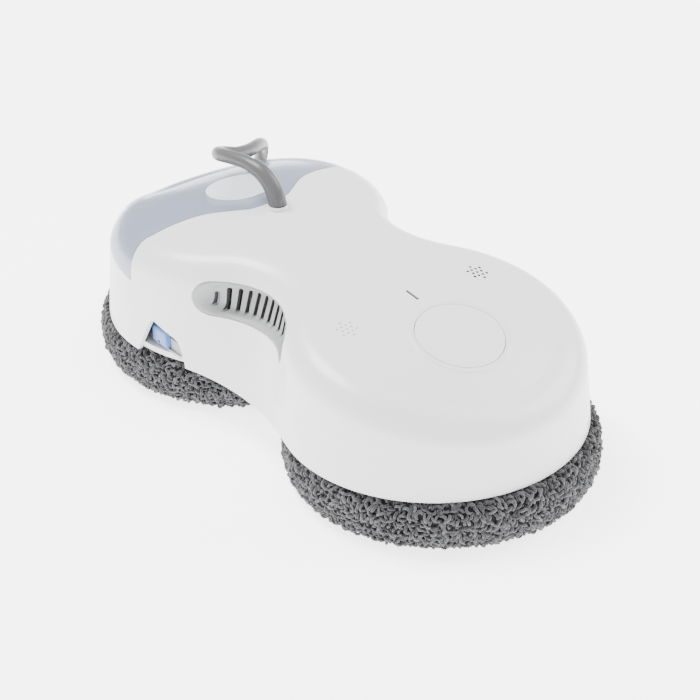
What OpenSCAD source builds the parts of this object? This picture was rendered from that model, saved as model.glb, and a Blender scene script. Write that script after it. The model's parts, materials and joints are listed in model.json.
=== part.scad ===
// Twin-disc window cleaning robot, lying on its two cleaning pads.
// +X points to the button end, +Y across, +Z up. The pads stand on z = 0.

/* [Body shell] */
// Distance from the middle to the centre of each round lobe
lobe_x = 70; // [67:0.5:72]
// Radius of a lobe at the lower rim
lobe_r = 72.5; // [71:0.25:74]
// How much a lobe narrows from the rim to the top edge
lobe_draft = 2; // [1:0.25:3]
// How far the waist is drawn in from the sides of the lobes at the lower rim
waist_in = 12.5; // [10.5:0.25:14.5]
// How much the waist narrows from the rim to the top edge
waist_draft = 16.5; // [14:0.5:18]
// Height of the lower rim
rim_z = 25; // [24.6:0.1:25.4]
// Height of the top at its highest point
crown_z = 87; // [86:0.5:90]
// Radius of the soft top edge
edge_r = 15; // [12:0.5:17]
// Thickness of the shell
shell_wall = 2.4; // [1.8:0.1:3]

/* [Cleaning wheels] */
// Radius of a cleaning pad
pad_r = 75; // [74.5:0.1:75.5]
// Gap between the two pads
pad_gap = 1; // [0.6:0.1:2]
// Thickness of the pad under the disc
pad_t = 7; // [6:0.25:7.5]
// Height of the pad's fluffy rim
pad_h = 24; // [22:0.25:24.2]
// Radius of the disc inside the pad
disc_r = 66; // [62:0.5:67]
// Radius of the suction hole through the wheel
suction_r = 20; // [17:0.5:20.5]
// Tooth size of the drive gears
gear_module = 1.25; // [1.2:0.01:1.3]
// Backlash of the drive gears
backlash = 0.3; // [0.2:0.05:0.4]

/* [Water tank] */
// Wall of the tank
tank_wall = 2; // [1.4:0.1:2.4]
// Gap between the tank and the shell
tank_gap = 0.4; // [0.3:0.05:0.6]
// Height of the tank's lower edge at its front tips
tank_floor_z = 61; // [60:0.25:62]
// How far the tank slides back to free its spout
tank_travel = 6; // [5:0.5:7]

/* [Power button] */
// Radius of the button
button_r = 20.5; // [18:0.25:22]
// Travel of the button
button_travel = 0.8; // [0.5:0.1:1]

/* [Power cord] */
// Diameter of the cord
cord_d = 7; // [6.6:0.1:7.2]

/* [Hidden] */

// General values
over = 1;
clear = 0.3;
run_clear = 0.05;
fine_fn = 96;
round_fn = 48;
small_fn = 24;

// Shell form: the half outline has two lobe arcs and one waist arc between them
waist = lobe_r - waist_in;
lobe_steps = 18;
waist_steps = 14;
half_steps = 2*lobe_steps + waist_steps;
ring_steps = 2*half_steps;
wall_rings = 2;
edge_rings = 5;
cap_steps = 5;
wall_h = crown_z - edge_r - rim_z;
crown_x = -50;
nose_run = 180;
tail_run = 75;
nose_drop = 21.8;
tail_drop = 19;
nose_power = 4.7;
tail_power = 2.6;
top_slope = 0.04;
side_drop = 7;
tail_side_drop = 5;
tail_side_x = -10;
tail_side_run = 60;
rake = 4;
rake_x = 130;
rake_z = 50;

function clip(v, lo, hi) = min(max(v, lo), hi);
function sq(v) = v*v;

// Height of the top over a place in plan
function top_z(x, y) =
    crown_z - top_slope*(x - crown_x)
    - nose_drop*pow(max(0, (x - crown_x)/nose_run), nose_power)
    - tail_drop*pow(max(0, (crown_x - x)/tail_run), tail_power)
    - (side_drop + tail_side_drop*clip((tail_side_x - x)/tail_side_run, 0, 1))
      * sq(y/(lobe_r - lobe_draft));

// The tail leans forward as it rises
function raked(x, y, z) = [x + rake*sq(clip(-x/rake_x, 0, 1))*(z - rim_z)/rake_z, y, z];

// Point i of the half outline, from the nose round the +Y side to the tail
function waist_arc(r, w) = (sq(lobe_x) + sq(w) - sq(r))/(2*(r - w));
function half_point(r, w, i) =
    let (rho = waist_arc(r, w), yw = w + rho, sweep = atan2(lobe_x, yw), phi = 90 + sweep)
    i <= lobe_steps
        ? [lobe_x + r*cos(phi*i/lobe_steps), r*sin(phi*i/lobe_steps)]
        : i <= lobe_steps + waist_steps
            ? let (b = sweep - 2*sweep*(i - lobe_steps)/waist_steps - 90)
              [rho*cos(b), yw + rho*sin(b)]
            : let (a = 180 - phi + phi*(i - lobe_steps - waist_steps)/lobe_steps)
              [-lobe_x + r*cos(a), r*sin(a)];
function outline(r, w) = concat(
    [for (i = [0 : half_steps]) half_point(r, w, i)],
    [for (i = [half_steps - 1 : -1 : 1]) let (p = half_point(r, w, i)) [p[0], -p[1]]]
);

// Outline of the shell's wall at a height, drawn in by a distance
function wall_share(z) = (z - rim_z)/wall_h;
function wall_outline(z, inset) =
    outline(lobe_r - lobe_draft*wall_share(z) - inset, waist - waist_draft*wall_share(z) - inset);

// Points of the closed body form, drawn in by a distance and standing on low_z
function form_points(inset, low_z) =
    let (
        r = lobe_r - lobe_draft - inset,
        w = waist - waist_draft - inset,
        e = edge_r - inset/2,
        inner = outline(r - e, w - e),
        rim = [for (p = inner) top_z(p[0], p[1]) - inset]
    )
    concat(
        [for (k = [0 : wall_rings - 1])
            let (s = k/wall_rings, base = wall_share(low_z)*(1 - s) + s,
                 ring = outline(lobe_r - lobe_draft*base - inset, waist - waist_draft*base - inset))
            for (i = [0 : ring_steps - 1])
                raked(ring[i][0], ring[i][1], low_z + (rim[i] - e - low_z)*s)],
        [for (k = [0 : edge_rings])
            let (a = 90*k/edge_rings, u = e*(1 - cos(a)), ring = outline(r - u, w - u))
            for (i = [0 : ring_steps - 1])
                raked(ring[i][0], ring[i][1], rim[i] - e*(1 - sin(a)))],
        [for (i = [1 : half_steps - 1]) for (t = [1 : cap_steps - 1])
            let (x = inner[i][0], y = inner[i][1]*(1 - 2*t/cap_steps))
            raked(x, y, top_z(x, y) - inset)]
    );
last_ring = (wall_rings + edge_rings)*ring_steps;
function cap_index(i, t) =
    i == 0 || i == half_steps || t == 0
        ? last_ring + i
        : t == cap_steps
            ? last_ring + ring_steps - i
            : last_ring + ring_steps + (i - 1)*(cap_steps - 1) + t - 1;
function form_faces() = concat(
    [[for (i = [0 : ring_steps - 1]) i]],
    [for (k = [0 : wall_rings + edge_rings - 1]) for (i = [0 : ring_steps - 1])
        let (a = k*ring_steps + i, b = k*ring_steps + (i + 1)%ring_steps)
        each [[a, b + ring_steps, b], [a, a + ring_steps, b + ring_steps]]],
    [for (i = [0 : half_steps - 1]) for (t = [0 : cap_steps - 1])
        let (a = cap_index(i, t), b = cap_index(i + 1, t),
             c = cap_index(i + 1, t + 1), d = cap_index(i, t + 1))
        each concat(i == 0 ? [] : [[a, d, c]], i == half_steps - 1 ? [] : [[a, c, b]])]
);
module body_form(inset, low_z) {
    polyhedron(form_points(inset, low_z), form_faces(), convexity = 6);
}

// Everything that a turned copy or a mirrored copy repeats
module both_sides() {
    children();
    mirror([0, 1, 0]) children();
}

// Tank zone: behind a curved front edge and above a sloping floor
tank_edge_x = -70;
tank_mid_x = -50.5;
tank_floor_rise = 7;
tank_floor_run = 70;
zone_reach = lobe_r + edge_r + over;
tank_edge_shares = [
    [0.00, 0.00], [0.04, 0.14], [0.26, 0.24], [0.50, 0.33], [0.76, 0.44],
    [0.96, 0.58], [1.10, 0.74], [1.10, 0.86], [1.00, 1.00]
];
module tank_zone(grow) {
    run = tank_mid_x - tank_edge_x;
    half = [for (s = tank_edge_shares) [tank_mid_x - run*s[0] + grow, lobe_r*s[1]]];
    far_x = -lobe_x - zone_reach;
    pts = concat(
        [[far_x, -zone_reach], [tank_edge_x + grow, -zone_reach]],
        [for (i = [len(half) - 1 : -1 : 1]) [half[i][0], -half[i][1]]],
        half,
        [[tank_edge_x + grow, zone_reach], [far_x, zone_reach]]
    );
    intersection() {
        linear_extrude(crown_z + over) polygon(pts);
        translate([tank_edge_x, 0, tank_floor_z - grow]) rotate([0, floor_a, 0])
            translate([-2*zone_reach, -zone_reach - over, 0])
            cube([3*zone_reach, 2*(zone_reach + over), crown_z]);
    }
}

// Finger opening in the tank
window_x = -76;
window_rx = 15;
window_ry = 17;
module tank_window(grow) {
    translate([window_x, 0, tank_floor_z - 2*over])
        scale([(window_rx + grow)/(window_ry + grow), 1, 1])
        cylinder(h = crown_z, r = window_ry + grow, $fn = round_fn);
}

// Spout of the tank and its socket in the shell
spout_y = 31;
spout_r = 2.4;
spout_bore_r = 1.3;
spout_len = tank_travel - tank_gap;
spout_root = 8;
spout_z = 75;
seal_r = 4.2;
seal_t = 2.4;
seal_in = 2.8;
seal_neck = 4;
seal_neck_r = 3.6;
collar_wall = 1.6;
floor_a = atan2(tank_floor_rise, tank_floor_run);
function tank_front_x(y) = let (u = abs(y)/lobe_r)
    tank_mid_x - (tank_mid_x - tank_edge_x)*lookup(u, [for (s = tank_edge_shares) [s[1], s[0]]]);
module at_spout() {
    translate([tank_front_x(spout_y), spout_y, spout_z]) rotate([0, 90 + floor_a, 0]) children();
}

// Vent openings at the waist: a long round-ended slot seen from the side
vent_x0 = -25;
vent_z0 = 64.5;
vent_r0 = 9;
vent_x1 = 29;
vent_z1 = 66.5;
vent_r1 = 9;
vent_clear = 0.3;
module vent_outline(inset) {
    translate([vent_x0, vent_z0]) circle(r = vent_r0 - inset, $fn = round_fn);
    translate([vent_x1, vent_z1]) circle(r = vent_r1 - inset, $fn = round_fn);
    polygon([
        [vent_x0, vent_z0 - vent_r0 + inset], [vent_x1, vent_z1 - vent_r1 + inset],
        [vent_x1, vent_z1 + vent_r1 - inset], [vent_x0, vent_z0 + vent_r0 - inset]
    ]);
}
module vent_prism(inset) {
    translate([0, -waist_draft, 0]) rotate([90, 0, 0])
        linear_extrude(lobe_r) vent_outline(inset);
}

// Notch in the lower rim where the spray nozzle looks out
notch_low_x0 = -67;
notch_low_x1 = -36;
notch_top_x = -56;
notch_top_z = 46;
notch_mid_x = -41;
notch_mid_z = 38.5;
notch_y = 50;
module notch_prism() {
    translate([0, -notch_y, 0]) rotate([90, 0, 0]) linear_extrude(lobe_r) polygon([
        [notch_low_x0, rim_z - over], [notch_low_x1, rim_z - over],
        [notch_mid_x, notch_mid_z], [notch_top_x, notch_top_z]
    ]);
}

// Screws that hold the chassis to the shell
boss_r = 4;
boss_h = 17;
screw_r = 1.5;
screw_len = 12;
screw_head_r = 2.8;
screw_head_h = 1.6;
base_t = 3;
base_lift = 1;
base_z = rim_z + base_lift;
base_top = base_z + base_t;
boss_out = 66.5;
boss_a = 40;
waist_boss_y = 48;
boss_places = [
    [lobe_x + boss_out*cos(boss_a), boss_out*sin(boss_a)],
    [lobe_x + boss_out*cos(boss_a), -boss_out*sin(boss_a)],
    [-lobe_x - boss_out*cos(boss_a), boss_out*sin(boss_a)],
    [-lobe_x - boss_out*cos(boss_a), -boss_out*sin(boss_a)],
    [0, waist_boss_y], [0, -waist_boss_y]
];

// Button frame: the button stands square to the sloping nose
button_x = 88.1;
button_z = 75.2;
button_tilt = 14.4;
button_clear = 0.35;
button_flange = 1.8;
button_flange_t = 1;
button_skirt = 4.6;
button_cap_t = 3.4;
plunger_r = 3;
board_drop = 9.6;
board_t = 1.6;
post_y = 26;
post_r = 2.4;
switch_w = 6;
switch_h = 2;
plunger_z = switch_h + button_travel + run_clear - board_drop;
module at_button() {
    translate([button_x, 0, button_z]) rotate([0, button_tilt, 0]) children();
}

// Sound holes on both sides of the light
sound_x = 56.4;
sound_y = 39;
sound_pitch = 2.5;
sound_hole_r = 0.6;
sound_rows = [1, 4, 3, 4, 1];
sound_ring_r = 7.6;
sound_ring_t = 1.2;
sound_drop = 2.5;
sound_z = top_z(sound_x, sound_y) - shell_wall - sound_drop;
module sound_holes(low_z) {
    for (side = [-1, 1]) for (k = [0 : len(sound_rows) - 1]) for (i = [0 : sound_rows[k] - 1])
        translate([
            sound_x + (k - (len(sound_rows) - 1)/2)*sound_pitch,
            side*sound_y + (i - (sound_rows[k] - 1)/2)*sound_pitch,
            low_z
        ]) cylinder(h = 2*edge_r, r = sound_hole_r, $fn = small_fn);
}

// Status light
light_x = 55.5;
light_len = 8.5;
light_w = 1.4;
light_flange = 1.5;
light_drop = 8;
light_tilt = atan((top_z(light_x - light_len/2, 0) - top_z(light_x + light_len/2, 0))/light_len);
module at_light() {
    translate([light_x, 0, top_z(light_x, 0)]) rotate([0, light_tilt, 0]) children();
}

// Cable outlet
outlet_x = -44.4;
collar_r = 5.4;
collar_h = 1.6;
collar_neck_r = 4.6;
cord_r = cord_d/2;
cord_clear = 0.2;
clamp_w = 20;
clamp_t = 7;
clamp_h = 7;
clamp_top = 78;
clamp_leg = 2.4;
outlet_z = top_z(outlet_x, 0);

module shell_posts() {
    for (p = boss_places) translate([p[0], p[1], base_top])
        cylinder(h = boss_h, r = boss_r, $fn = small_fn);
    at_button() for (side = [-1, 1]) translate([0, side*post_y, -board_drop])
        cylinder(h = board_drop, r = post_r, $fn = small_fn);
    for (side = [-1, 1]) translate([outlet_x, side*(clamp_w/2 - clamp_leg), clamp_top])
        cylinder(h = outlet_z - clamp_top, r = clamp_leg, $fn = small_fn);
    at_spout() translate([0, 0, -spout_root/2])
        cylinder(h = spout_root/2 + seal_in + seal_t, r = seal_r + collar_wall, $fn = small_fn);
    for (side = [-1, 1]) translate([sound_x, side*sound_y, sound_z]) difference() {
        cylinder(h = sound_drop + edge_r, r = sound_ring_r, $fn = small_fn);
        translate([0, 0, -over])
            cylinder(h = sound_drop + edge_r + 2*over, r = sound_ring_r - sound_ring_t, $fn = small_fn);
    }
}
module top_shell() {
    color("white") difference() {
        union() {
            difference() {
                body_form(0, rim_z);
                difference() {
                    body_form(shell_wall, rim_z - over);
                    tank_zone(shell_wall);
                }
            }
            intersection() {
                shell_posts();
                body_form(shell_wall/2, rim_z);
            }
        }
        tank_zone(0);
        both_sides() vent_prism(0);
        both_sides() notch_prism();
        for (p = boss_places) translate([p[0], p[1], base_top - over])
            cylinder(h = screw_len, r = screw_r - run_clear, $fn = small_fn);
        at_button() translate([0, 0, -button_skirt])
            cylinder(h = edge_r, r = button_r + button_clear, $fn = fine_fn);
        translate([outlet_x, 0, clamp_top])
            cylinder(h = edge_r, r = collar_neck_r + run_clear, $fn = round_fn);
        at_light() translate([-light_len/2, -light_w/2, -light_drop]) cube([light_len, light_w,
            2*light_drop]);
        sound_holes(top_z(sound_x, sound_y) - edge_r/2);
        at_spout() translate([0, 0, -spout_root])
            cylinder(h = spout_root + seal_in + seal_t + over, r = seal_r + run_clear, $fn = small_fn);
    }
}

// Vent grille: a curved plate with slots inside a rim
vent_lip = 0.6;
vent_depth = 5.5;
vent_plate = 1.8;
vent_rim = 1.5;
vent_arc_r = 52;
vent_slots = 13;
vent_slot_w = 2.2;
vent_slot_x0 = -24;
vent_slot_x1 = 31;
vent_mid_share = 0.87;
vent_mid_w = waist - waist_draft*vent_mid_share;
module vent_ring(r) {
    translate([0, -vent_mid_w - vent_arc_r, rim_z]) cylinder(h = crown_z, r = r, $fn = fine_fn);
}
module vent_grille() {
    color("lightgray") difference() {
        intersection() {
            body_form(vent_lip, rim_z);
            vent_prism(vent_clear);
            vent_ring(vent_arc_r + vent_depth + vent_plate);
        }
        intersection() {
            vent_prism(vent_clear + vent_rim);
            vent_ring(vent_arc_r + vent_depth);
        }
        for (i = [0 : vent_slots - 1]) {
            s = i/(vent_slots - 1);
            x = vent_slot_x0 + (vent_slot_x1 - vent_slot_x0)*s;
            low = vent_z0 + (vent_z1 - vent_z0)*s - vent_r0 + vent_rim + 2*vent_clear;
            h = 2*(vent_r0 - vent_rim - 2*vent_clear)*(i == 0 ? 1/2 : 1);
            translate([x - vent_slot_w/2, -vent_mid_w - vent_depth, low + (i == 0 ? h/2 : 0)])
                cube([vent_slot_w, 4*vent_depth, h]);
        }
    }
}

// Chassis with the two wheel bearings' seats and the posts for the gear covers
wheel_x = pad_r + pad_gap/2;
bush_r = 27;
bush_flange_r = 29.5;
bush_low = 0.5;
hub_r = 24;
cover_post_r = 3;
cover_post_out = 36;
cover_post_a = [30, 90, 212, 285];
gear_lift = 4;
gear_z = base_top + gear_lift;
gear_t = 6;
cover_gap = 1;
cover_z = gear_z + gear_t + cover_gap;
cover_t = 2.2;
cover_top = cover_z + cover_t;
cover_r = 40;
cover_screw_r = 1.2;
cover_screw_len = 8;
base_clear = 0.35;
module each_wheel() {
    translate([wheel_x, 0, 0]) children();
    rotate([0, 0, 180]) translate([wheel_x, 0, 0]) children();
}
module base_chassis() {
    color("white")
    difference() {
        union() {
            translate([0, 0, base_z]) linear_extrude(base_t)
                polygon(wall_outline(base_top, shell_wall + base_clear));
            each_wheel() for (a = cover_post_a) rotate([0, 0, a])
                translate([cover_post_out, 0, base_top - base_t/2])
                cylinder(h = cover_z - base_top + base_t/2, r = cover_post_r, $fn = small_fn);
        }
        each_wheel() translate([0, 0, base_z - over])
            cylinder(h = base_t + 2*over, r = bush_r + run_clear, $fn = fine_fn);
        each_wheel() for (a = cover_post_a) rotate([0, 0, a])
            translate([cover_post_out, 0, cover_z - cover_screw_len + cover_t])
            cylinder(h = cover_screw_len, r = cover_screw_r - run_clear, $fn = small_fn);
        for (p = boss_places) translate([p[0], p[1], base_z - over])
            cylinder(h = base_t + 2*over, r = screw_r + clear, $fn = small_fn);
    }
}
module bush(x) {
    color("gainsboro") translate([x, 0, 0]) difference() {
        union() {
            translate([0, 0, base_z - bush_low])
                cylinder(h = base_t + bush_low + over, r = bush_r, $fn = fine_fn);
            translate([0, 0, base_top])
                cylinder(h = gear_z - clear - base_top, r = bush_flange_r, $fn = fine_fn);
        }
        translate([0, 0, base_z - bush_low - over])
            cylinder(h = gear_z, r = hub_r + run_clear, $fn = fine_fn);
    }
}

module housing_screws() {
    color("silver") for (p = boss_places) translate([p[0], p[1], base_z - screw_head_h]) {
        cylinder(h = screw_head_h, r = screw_head_r, $fn = small_fn);
        translate([0, 0, screw_head_h/2])
            cylinder(h = screw_len, r = screw_r - 2*run_clear, $fn = small_fn);
    }
}

// Wheel: pad, hook ring, disc with hub, and gear
hook_t = 1;
hook_r0 = 36;
disc_z = pad_t + hook_t;
disc_t = 3;
disc_h = 14;
disc_rim_t = 3;
disc_rib_t = 1.6;
disc_ribs = 10;
hub_step_r = 27.5;
hub_step_z = base_z - bush_low - clear;
hub_top = gear_z;
pad_r0 = 33;
pad_round = 9;
pad_inner_r = disc_r + clear;
gear_teeth = 48;
pinion_teeth = 16;
gear_pitch_r = gear_module*gear_teeth/2;
pinion_pitch_r = gear_module*pinion_teeth/2;
gear_distance = gear_pitch_r + pinion_pitch_r;
gear_bore = suction_r;
gear_screw_r = 1;
gear_screw_out = (suction_r + hub_r)/2;
gear_screw_head = 1.7;
gear_screw_head_h = 0.7;
gear_screw_len = 8;
pinion_dir = 135;

module pad(x) {
    color("dimgray") translate([x, 0, 0]) rotate_extrude($fn = fine_fn) union() {
        translate([pad_r0, 0]) square([pad_r - pad_round - pad_r0, pad_t]);
        difference() {
            union() {
                translate([pad_r - pad_round, 0]) square([pad_round/2, pad_h - pad_round/2]);
                translate([pad_inner_r, pad_round/2])
                    square([pad_r - pad_inner_r - pad_round/2, pad_h - pad_round]);
                translate([pad_r - pad_round, pad_round]) circle(r = pad_round, $fn = round_fn);
                translate([pad_r - pad_round, pad_round])
                    square([pad_round, pad_h - pad_round - pad_round/2]);
                translate([pad_r - pad_round/2, pad_h - pad_round/2])
                    circle(r = pad_round/2, $fn = round_fn);
                translate([pad_inner_r, pad_h - pad_round])
                    square([pad_r - pad_inner_r - pad_round/2, pad_round]);
            }
            translate([0, pad_t]) square([pad_inner_r, pad_h]);
        }
    }
}
module hook_ring(x) {
    color("gray") translate([x, 0, pad_t]) difference() {
        cylinder(h = hook_t, r = disc_r - disc_rim_t, $fn = fine_fn);
        translate([0, 0, -over]) cylinder(h = hook_t + 2*over, r = hook_r0, $fn = fine_fn);
    }
}
module disc(x) {
    color("whitesmoke") translate([x, 0, 0]) difference() {
        union() {
            translate([0, 0, disc_z]) cylinder(h = disc_t, r = disc_r, $fn = fine_fn);
            difference() {
                translate([0, 0, disc_z]) cylinder(h = disc_h, r = disc_r, $fn = fine_fn);
                translate([0, 0, disc_z]) cylinder(h = disc_h + over, r = disc_r - disc_rim_t, $fn = fine_fn);
            }
            for (i = [0 : disc_ribs - 1]) rotate([0, 0, 360*i/disc_ribs])
                translate([hub_r, -disc_rib_t/2, disc_z])
                cube([disc_r - disc_rim_t/2 - hub_r, disc_rib_t, disc_h - disc_rim_t]);
            translate([0, 0, disc_z]) cylinder(h = hub_step_z - disc_z, r = hub_step_r, $fn = fine_fn);
            translate([0, 0, disc_z]) cylinder(h = hub_top - disc_z, r = hub_r, $fn = fine_fn);
        }
        translate([0, 0, disc_z - over]) cylinder(h = hub_top, r = suction_r, $fn = fine_fn);
        for (i = [0 : 3]) rotate([0, 0, 90*i + 45]) translate([gear_screw_out, 0, hub_top - gear_screw_len])
            cylinder(h = gear_screw_len + over, r = gear_screw_r - run_clear, $fn = small_fn);
    }
}

// Involute gear outline
function involute(base, a) = [base*(cos(a) + a*PI/180*sin(a)), base*(sin(a) - a*PI/180*cos(a))];
function turned(p, a) = [p[0]*cos(a) - p[1]*sin(a), p[0]*sin(a) + p[1]*cos(a)];
pressure_a = 20;
tooth_steps = 4;
tip_share = 0.95;
root_share = 1.2;
module gear_outline(teeth) {
    pitch = gear_module*teeth/2;
    base = pitch*cos(pressure_a);
    tip = pitch + gear_module*tip_share;
    root = pitch - gear_module*root_share;
    start = max(base, root);
    a0 = sqrt(max(0, sq(start/base) - 1))*180/PI;
    a1 = sqrt(sq(tip/base) - 1)*180/PI;
    at_pitch = tan(pressure_a)*180/PI - pressure_a;
    half = 90/teeth + at_pitch - backlash/4/pitch*180/PI;
    flank = [for (i = [0 : tooth_steps]) turned(involute(base, a0 + (a1 - a0)*i/tooth_steps), -half)];
    polygon([for (k = [0 : teeth - 1]) each [for (p = concat(
        [turned([root, 0], -half - (start > root ? 0 : 1/teeth))],
        flank,
        [for (i = [tooth_steps : -1 : 0]) [flank[i][0], -flank[i][1]]],
        [turned([root, 0], half + (start > root ? 0 : 1/teeth))]
    )) turned(p, 360*k/teeth)]]);
}
module wheel_gear(x) {
    color("lightgray") translate([x, 0, gear_z]) difference() {
        linear_extrude(gear_t) gear_outline(gear_teeth);
        translate([0, 0, -over]) cylinder(h = gear_t + 2*over, r = gear_bore, $fn = fine_fn);
        for (i = [0 : 3]) rotate([0, 0, 90*i + 45]) translate([gear_screw_out, 0, -over])
            cylinder(h = gear_t + 2*over, r = gear_screw_r + clear/2, $fn = small_fn);
    }
}
module gear_screws(x) {
    color("silver") translate([x, 0, 0]) for (i = [0 : 3]) rotate([0, 0, 90*i + 45])
        translate([gear_screw_out, 0, gear_z + gear_t]) {
            cylinder(h = gear_screw_head_h, r = gear_screw_head, $fn = small_fn);
            translate([0, 0, -gear_screw_len - gear_t/2])
                cylinder(h = gear_screw_len + gear_t/2 + gear_screw_head_h/2,
                    r = gear_screw_r - 2*run_clear, $fn = small_fn);
        }
}

// Pinion on its shaft, and the gearmotor above it
shaft_r = 2;
motor_r = 12.5;
gearhead_h = 14;
motor_body_r = 10.5;
motor_h = 10;
motor_cap_h = 2;
motor_cap_r = 5;
pinion_lift = 0.5;
pinion_t = gear_t - 2*pinion_lift;
function pinion_place(x) = [x + gear_distance*cos(pinion_dir)*sign(x), gear_distance*sin(pinion_dir)*sign(x)];
pinion_phase = 180/pinion_teeth;
module pinion(x) {
    p = pinion_place(x);
    turn = pinion_dir + 180 + (x > 0 ? 0 : 180);
    // the wheel gear has a tooth or a gap on the line of centres, and the pinion has the other
    wheel_turn = gear_teeth*(pinion_dir + (x > 0 ? 0 : 180))/360;
    slip = (wheel_turn - floor(wheel_turn))*360/pinion_teeth;
    color("goldenrod") translate([p[0], p[1], 0]) {
        translate([0, 0, gear_z + pinion_lift]) rotate([0, 0, turn + pinion_phase + slip])
            linear_extrude(pinion_t) gear_outline(pinion_teeth);
        translate([0, 0, gear_z + pinion_lift + pinion_t/2])
            cylinder(h = cover_top + gearhead_h/2 - gear_z - pinion_lift - pinion_t/2, r = shaft_r,
                $fn = small_fn);
    }
}
module gearmotor(x) {
    p = pinion_place(x);
    color("slategray") translate([p[0], p[1], cover_top]) difference() {
        union() {
            cylinder(h = gearhead_h, r = motor_r, $fn = round_fn);
            cylinder(h = gearhead_h + motor_h, r = motor_body_r, $fn = round_fn);
            cylinder(h = gearhead_h + motor_h + motor_cap_h, r = motor_cap_r, $fn = small_fn);
        }
        translate([0, 0, -over])
            cylinder(h = gearhead_h/2 + over + clear, r = shaft_r + run_clear, $fn = small_fn);
    }
}
module gear_cover(x) {
    p = pinion_place(x);
    color("whitesmoke") difference() {
        union() {
            translate([x, 0, cover_z]) cylinder(h = cover_t, r = cover_r, $fn = fine_fn);
            translate([p[0], p[1], cover_z]) cylinder(h = cover_t, r = motor_r + cover_t, $fn = round_fn);
            if (x > 0) for (q = board_posts) translate([q[0], q[1], cover_z + cover_t/2])
                cylinder(h = board_z - cover_z - cover_t/2, r = board_post_r, $fn = small_fn);
            if (x < 0) translate([pump_x - cradle_l/2, pump_y - pump_r, cover_z])
                cube([cradle_l, 2*pump_r, cover_t + pump_r/2]);
        }
        translate([x, 0, cover_z - over]) cylinder(h = cover_t + 2*over, r = suction_r, $fn = fine_fn);
        translate([p[0], p[1], cover_z - over])
            cylinder(h = cover_t + 2*over, r = shaft_r + clear, $fn = small_fn);
        if (x < 0) translate([pump_x - pump_len/2, pump_y, pump_z]) rotate([0, 90, 0])
            cylinder(h = pump_len, r = pump_r + run_clear, $fn = round_fn);
        translate([x, 0, 0]) rotate([0, 0, x > 0 ? 0 : 180]) for (a = cover_post_a) rotate([0, 0, a])
            translate([cover_post_out, 0, cover_z - over])
            cylinder(h = cover_t + 2*over, r = cover_screw_r + clear/2, $fn = small_fn);
    }
}
module cover_screws() {
    color("silver") each_wheel() for (a = cover_post_a) rotate([0, 0, a])
        translate([cover_post_out, 0, cover_top]) {
            cylinder(h = screw_head_h/2, r = screw_head_r - clear, $fn = small_fn);
            translate([0, 0, over - cover_screw_len])
                cylinder(h = cover_screw_len - over/2, r = cover_screw_r - 2*run_clear, $fn = small_fn);
        }
}

// Duct from both wheel hubs to the fan
duct_wall = 1.6;
duct_hub_r = suction_r + duct_wall;
duct_half = 12.5;
duct_h = 10;
duct_z = cover_top + clear;
fan_inlet_r = 14;
duct_top = duct_z + duct_h;
module duct_space(inset) {
    each_wheel() cylinder(h = duct_h - 2*inset, r = duct_hub_r - inset, $fn = fine_fn);
    translate([-wheel_x, -duct_half + inset, 0])
        cube([2*wheel_x, 2*(duct_half - inset), duct_h - 2*inset]);
    cylinder(h = duct_h - 2*inset, r = fan_inlet_r + 2*duct_wall - inset, $fn = round_fn);
}
module suction_duct() {
    color("lightgray") translate([0, 0, duct_z]) difference() {
        duct_space(0);
        translate([0, 0, duct_wall]) duct_space(duct_wall);
        each_wheel() translate([0, 0, -over]) cylinder(h = duct_h/2, r = suction_r, $fn = fine_fn);
        translate([0, 0, duct_h/2]) cylinder(h = duct_h, r = fan_inlet_r, $fn = round_fn);
    }
}

// Fan: housing with two outlets, impeller, cover and motor
fan_wall = 1.6;
fan_r = 32;
fan_z = duct_top + clear;
fan_h = 16.5;
fan_top = fan_z + fan_h;
outlet_half = 20;
outlet_y = 37.5;
outlet_low = 2;
impeller_r = 27;
impeller_h = 11;
impeller_gap = 1.5;
blade_t = 1.2;
blades = 9;
blade_lean = 35;
hub_small_r = 6;
fan_shaft_r = 1.5;
fan_cover_t = 2;
fan_motor_r = 13;
fan_motor_h = 7.5;
module fan_housing() {
    color("gainsboro") translate([0, 0, fan_z]) difference() {
        union() {
            cylinder(h = fan_h, r = fan_r, $fn = fine_fn);
            translate([-outlet_half, -outlet_y, 0]) cube([2*outlet_half, 2*outlet_y, fan_h]);
        }
        translate([0, 0, fan_wall]) cylinder(h = fan_h, r = fan_r - fan_wall, $fn = fine_fn);
        translate([-outlet_half + fan_wall, -outlet_y - over, outlet_low])
            cube([2*(outlet_half - fan_wall), 2*(outlet_y + over), fan_h - 2*outlet_low]);
        translate([0, 0, -over]) cylinder(h = fan_h, r = fan_inlet_r, $fn = round_fn);
    }
}
module fan_cover() {
    color("whitesmoke") translate([0, 0, fan_top]) difference() {
        cylinder(h = fan_cover_t, r = fan_r, $fn = fine_fn);
        translate([0, 0, -over]) cylinder(h = fan_cover_t + 2*over, r = fan_shaft_r + clear, $fn = small_fn);
    }
}
module fan_motor() {
    color("dimgray") translate([0, 0, fan_top + fan_cover_t]) difference() {
        cylinder(h = fan_motor_h, r = fan_motor_r, $fn = round_fn);
        translate([0, 0, -over]) cylinder(h = fan_motor_h, r = fan_shaft_r + run_clear, $fn = small_fn);
    }
}
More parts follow.
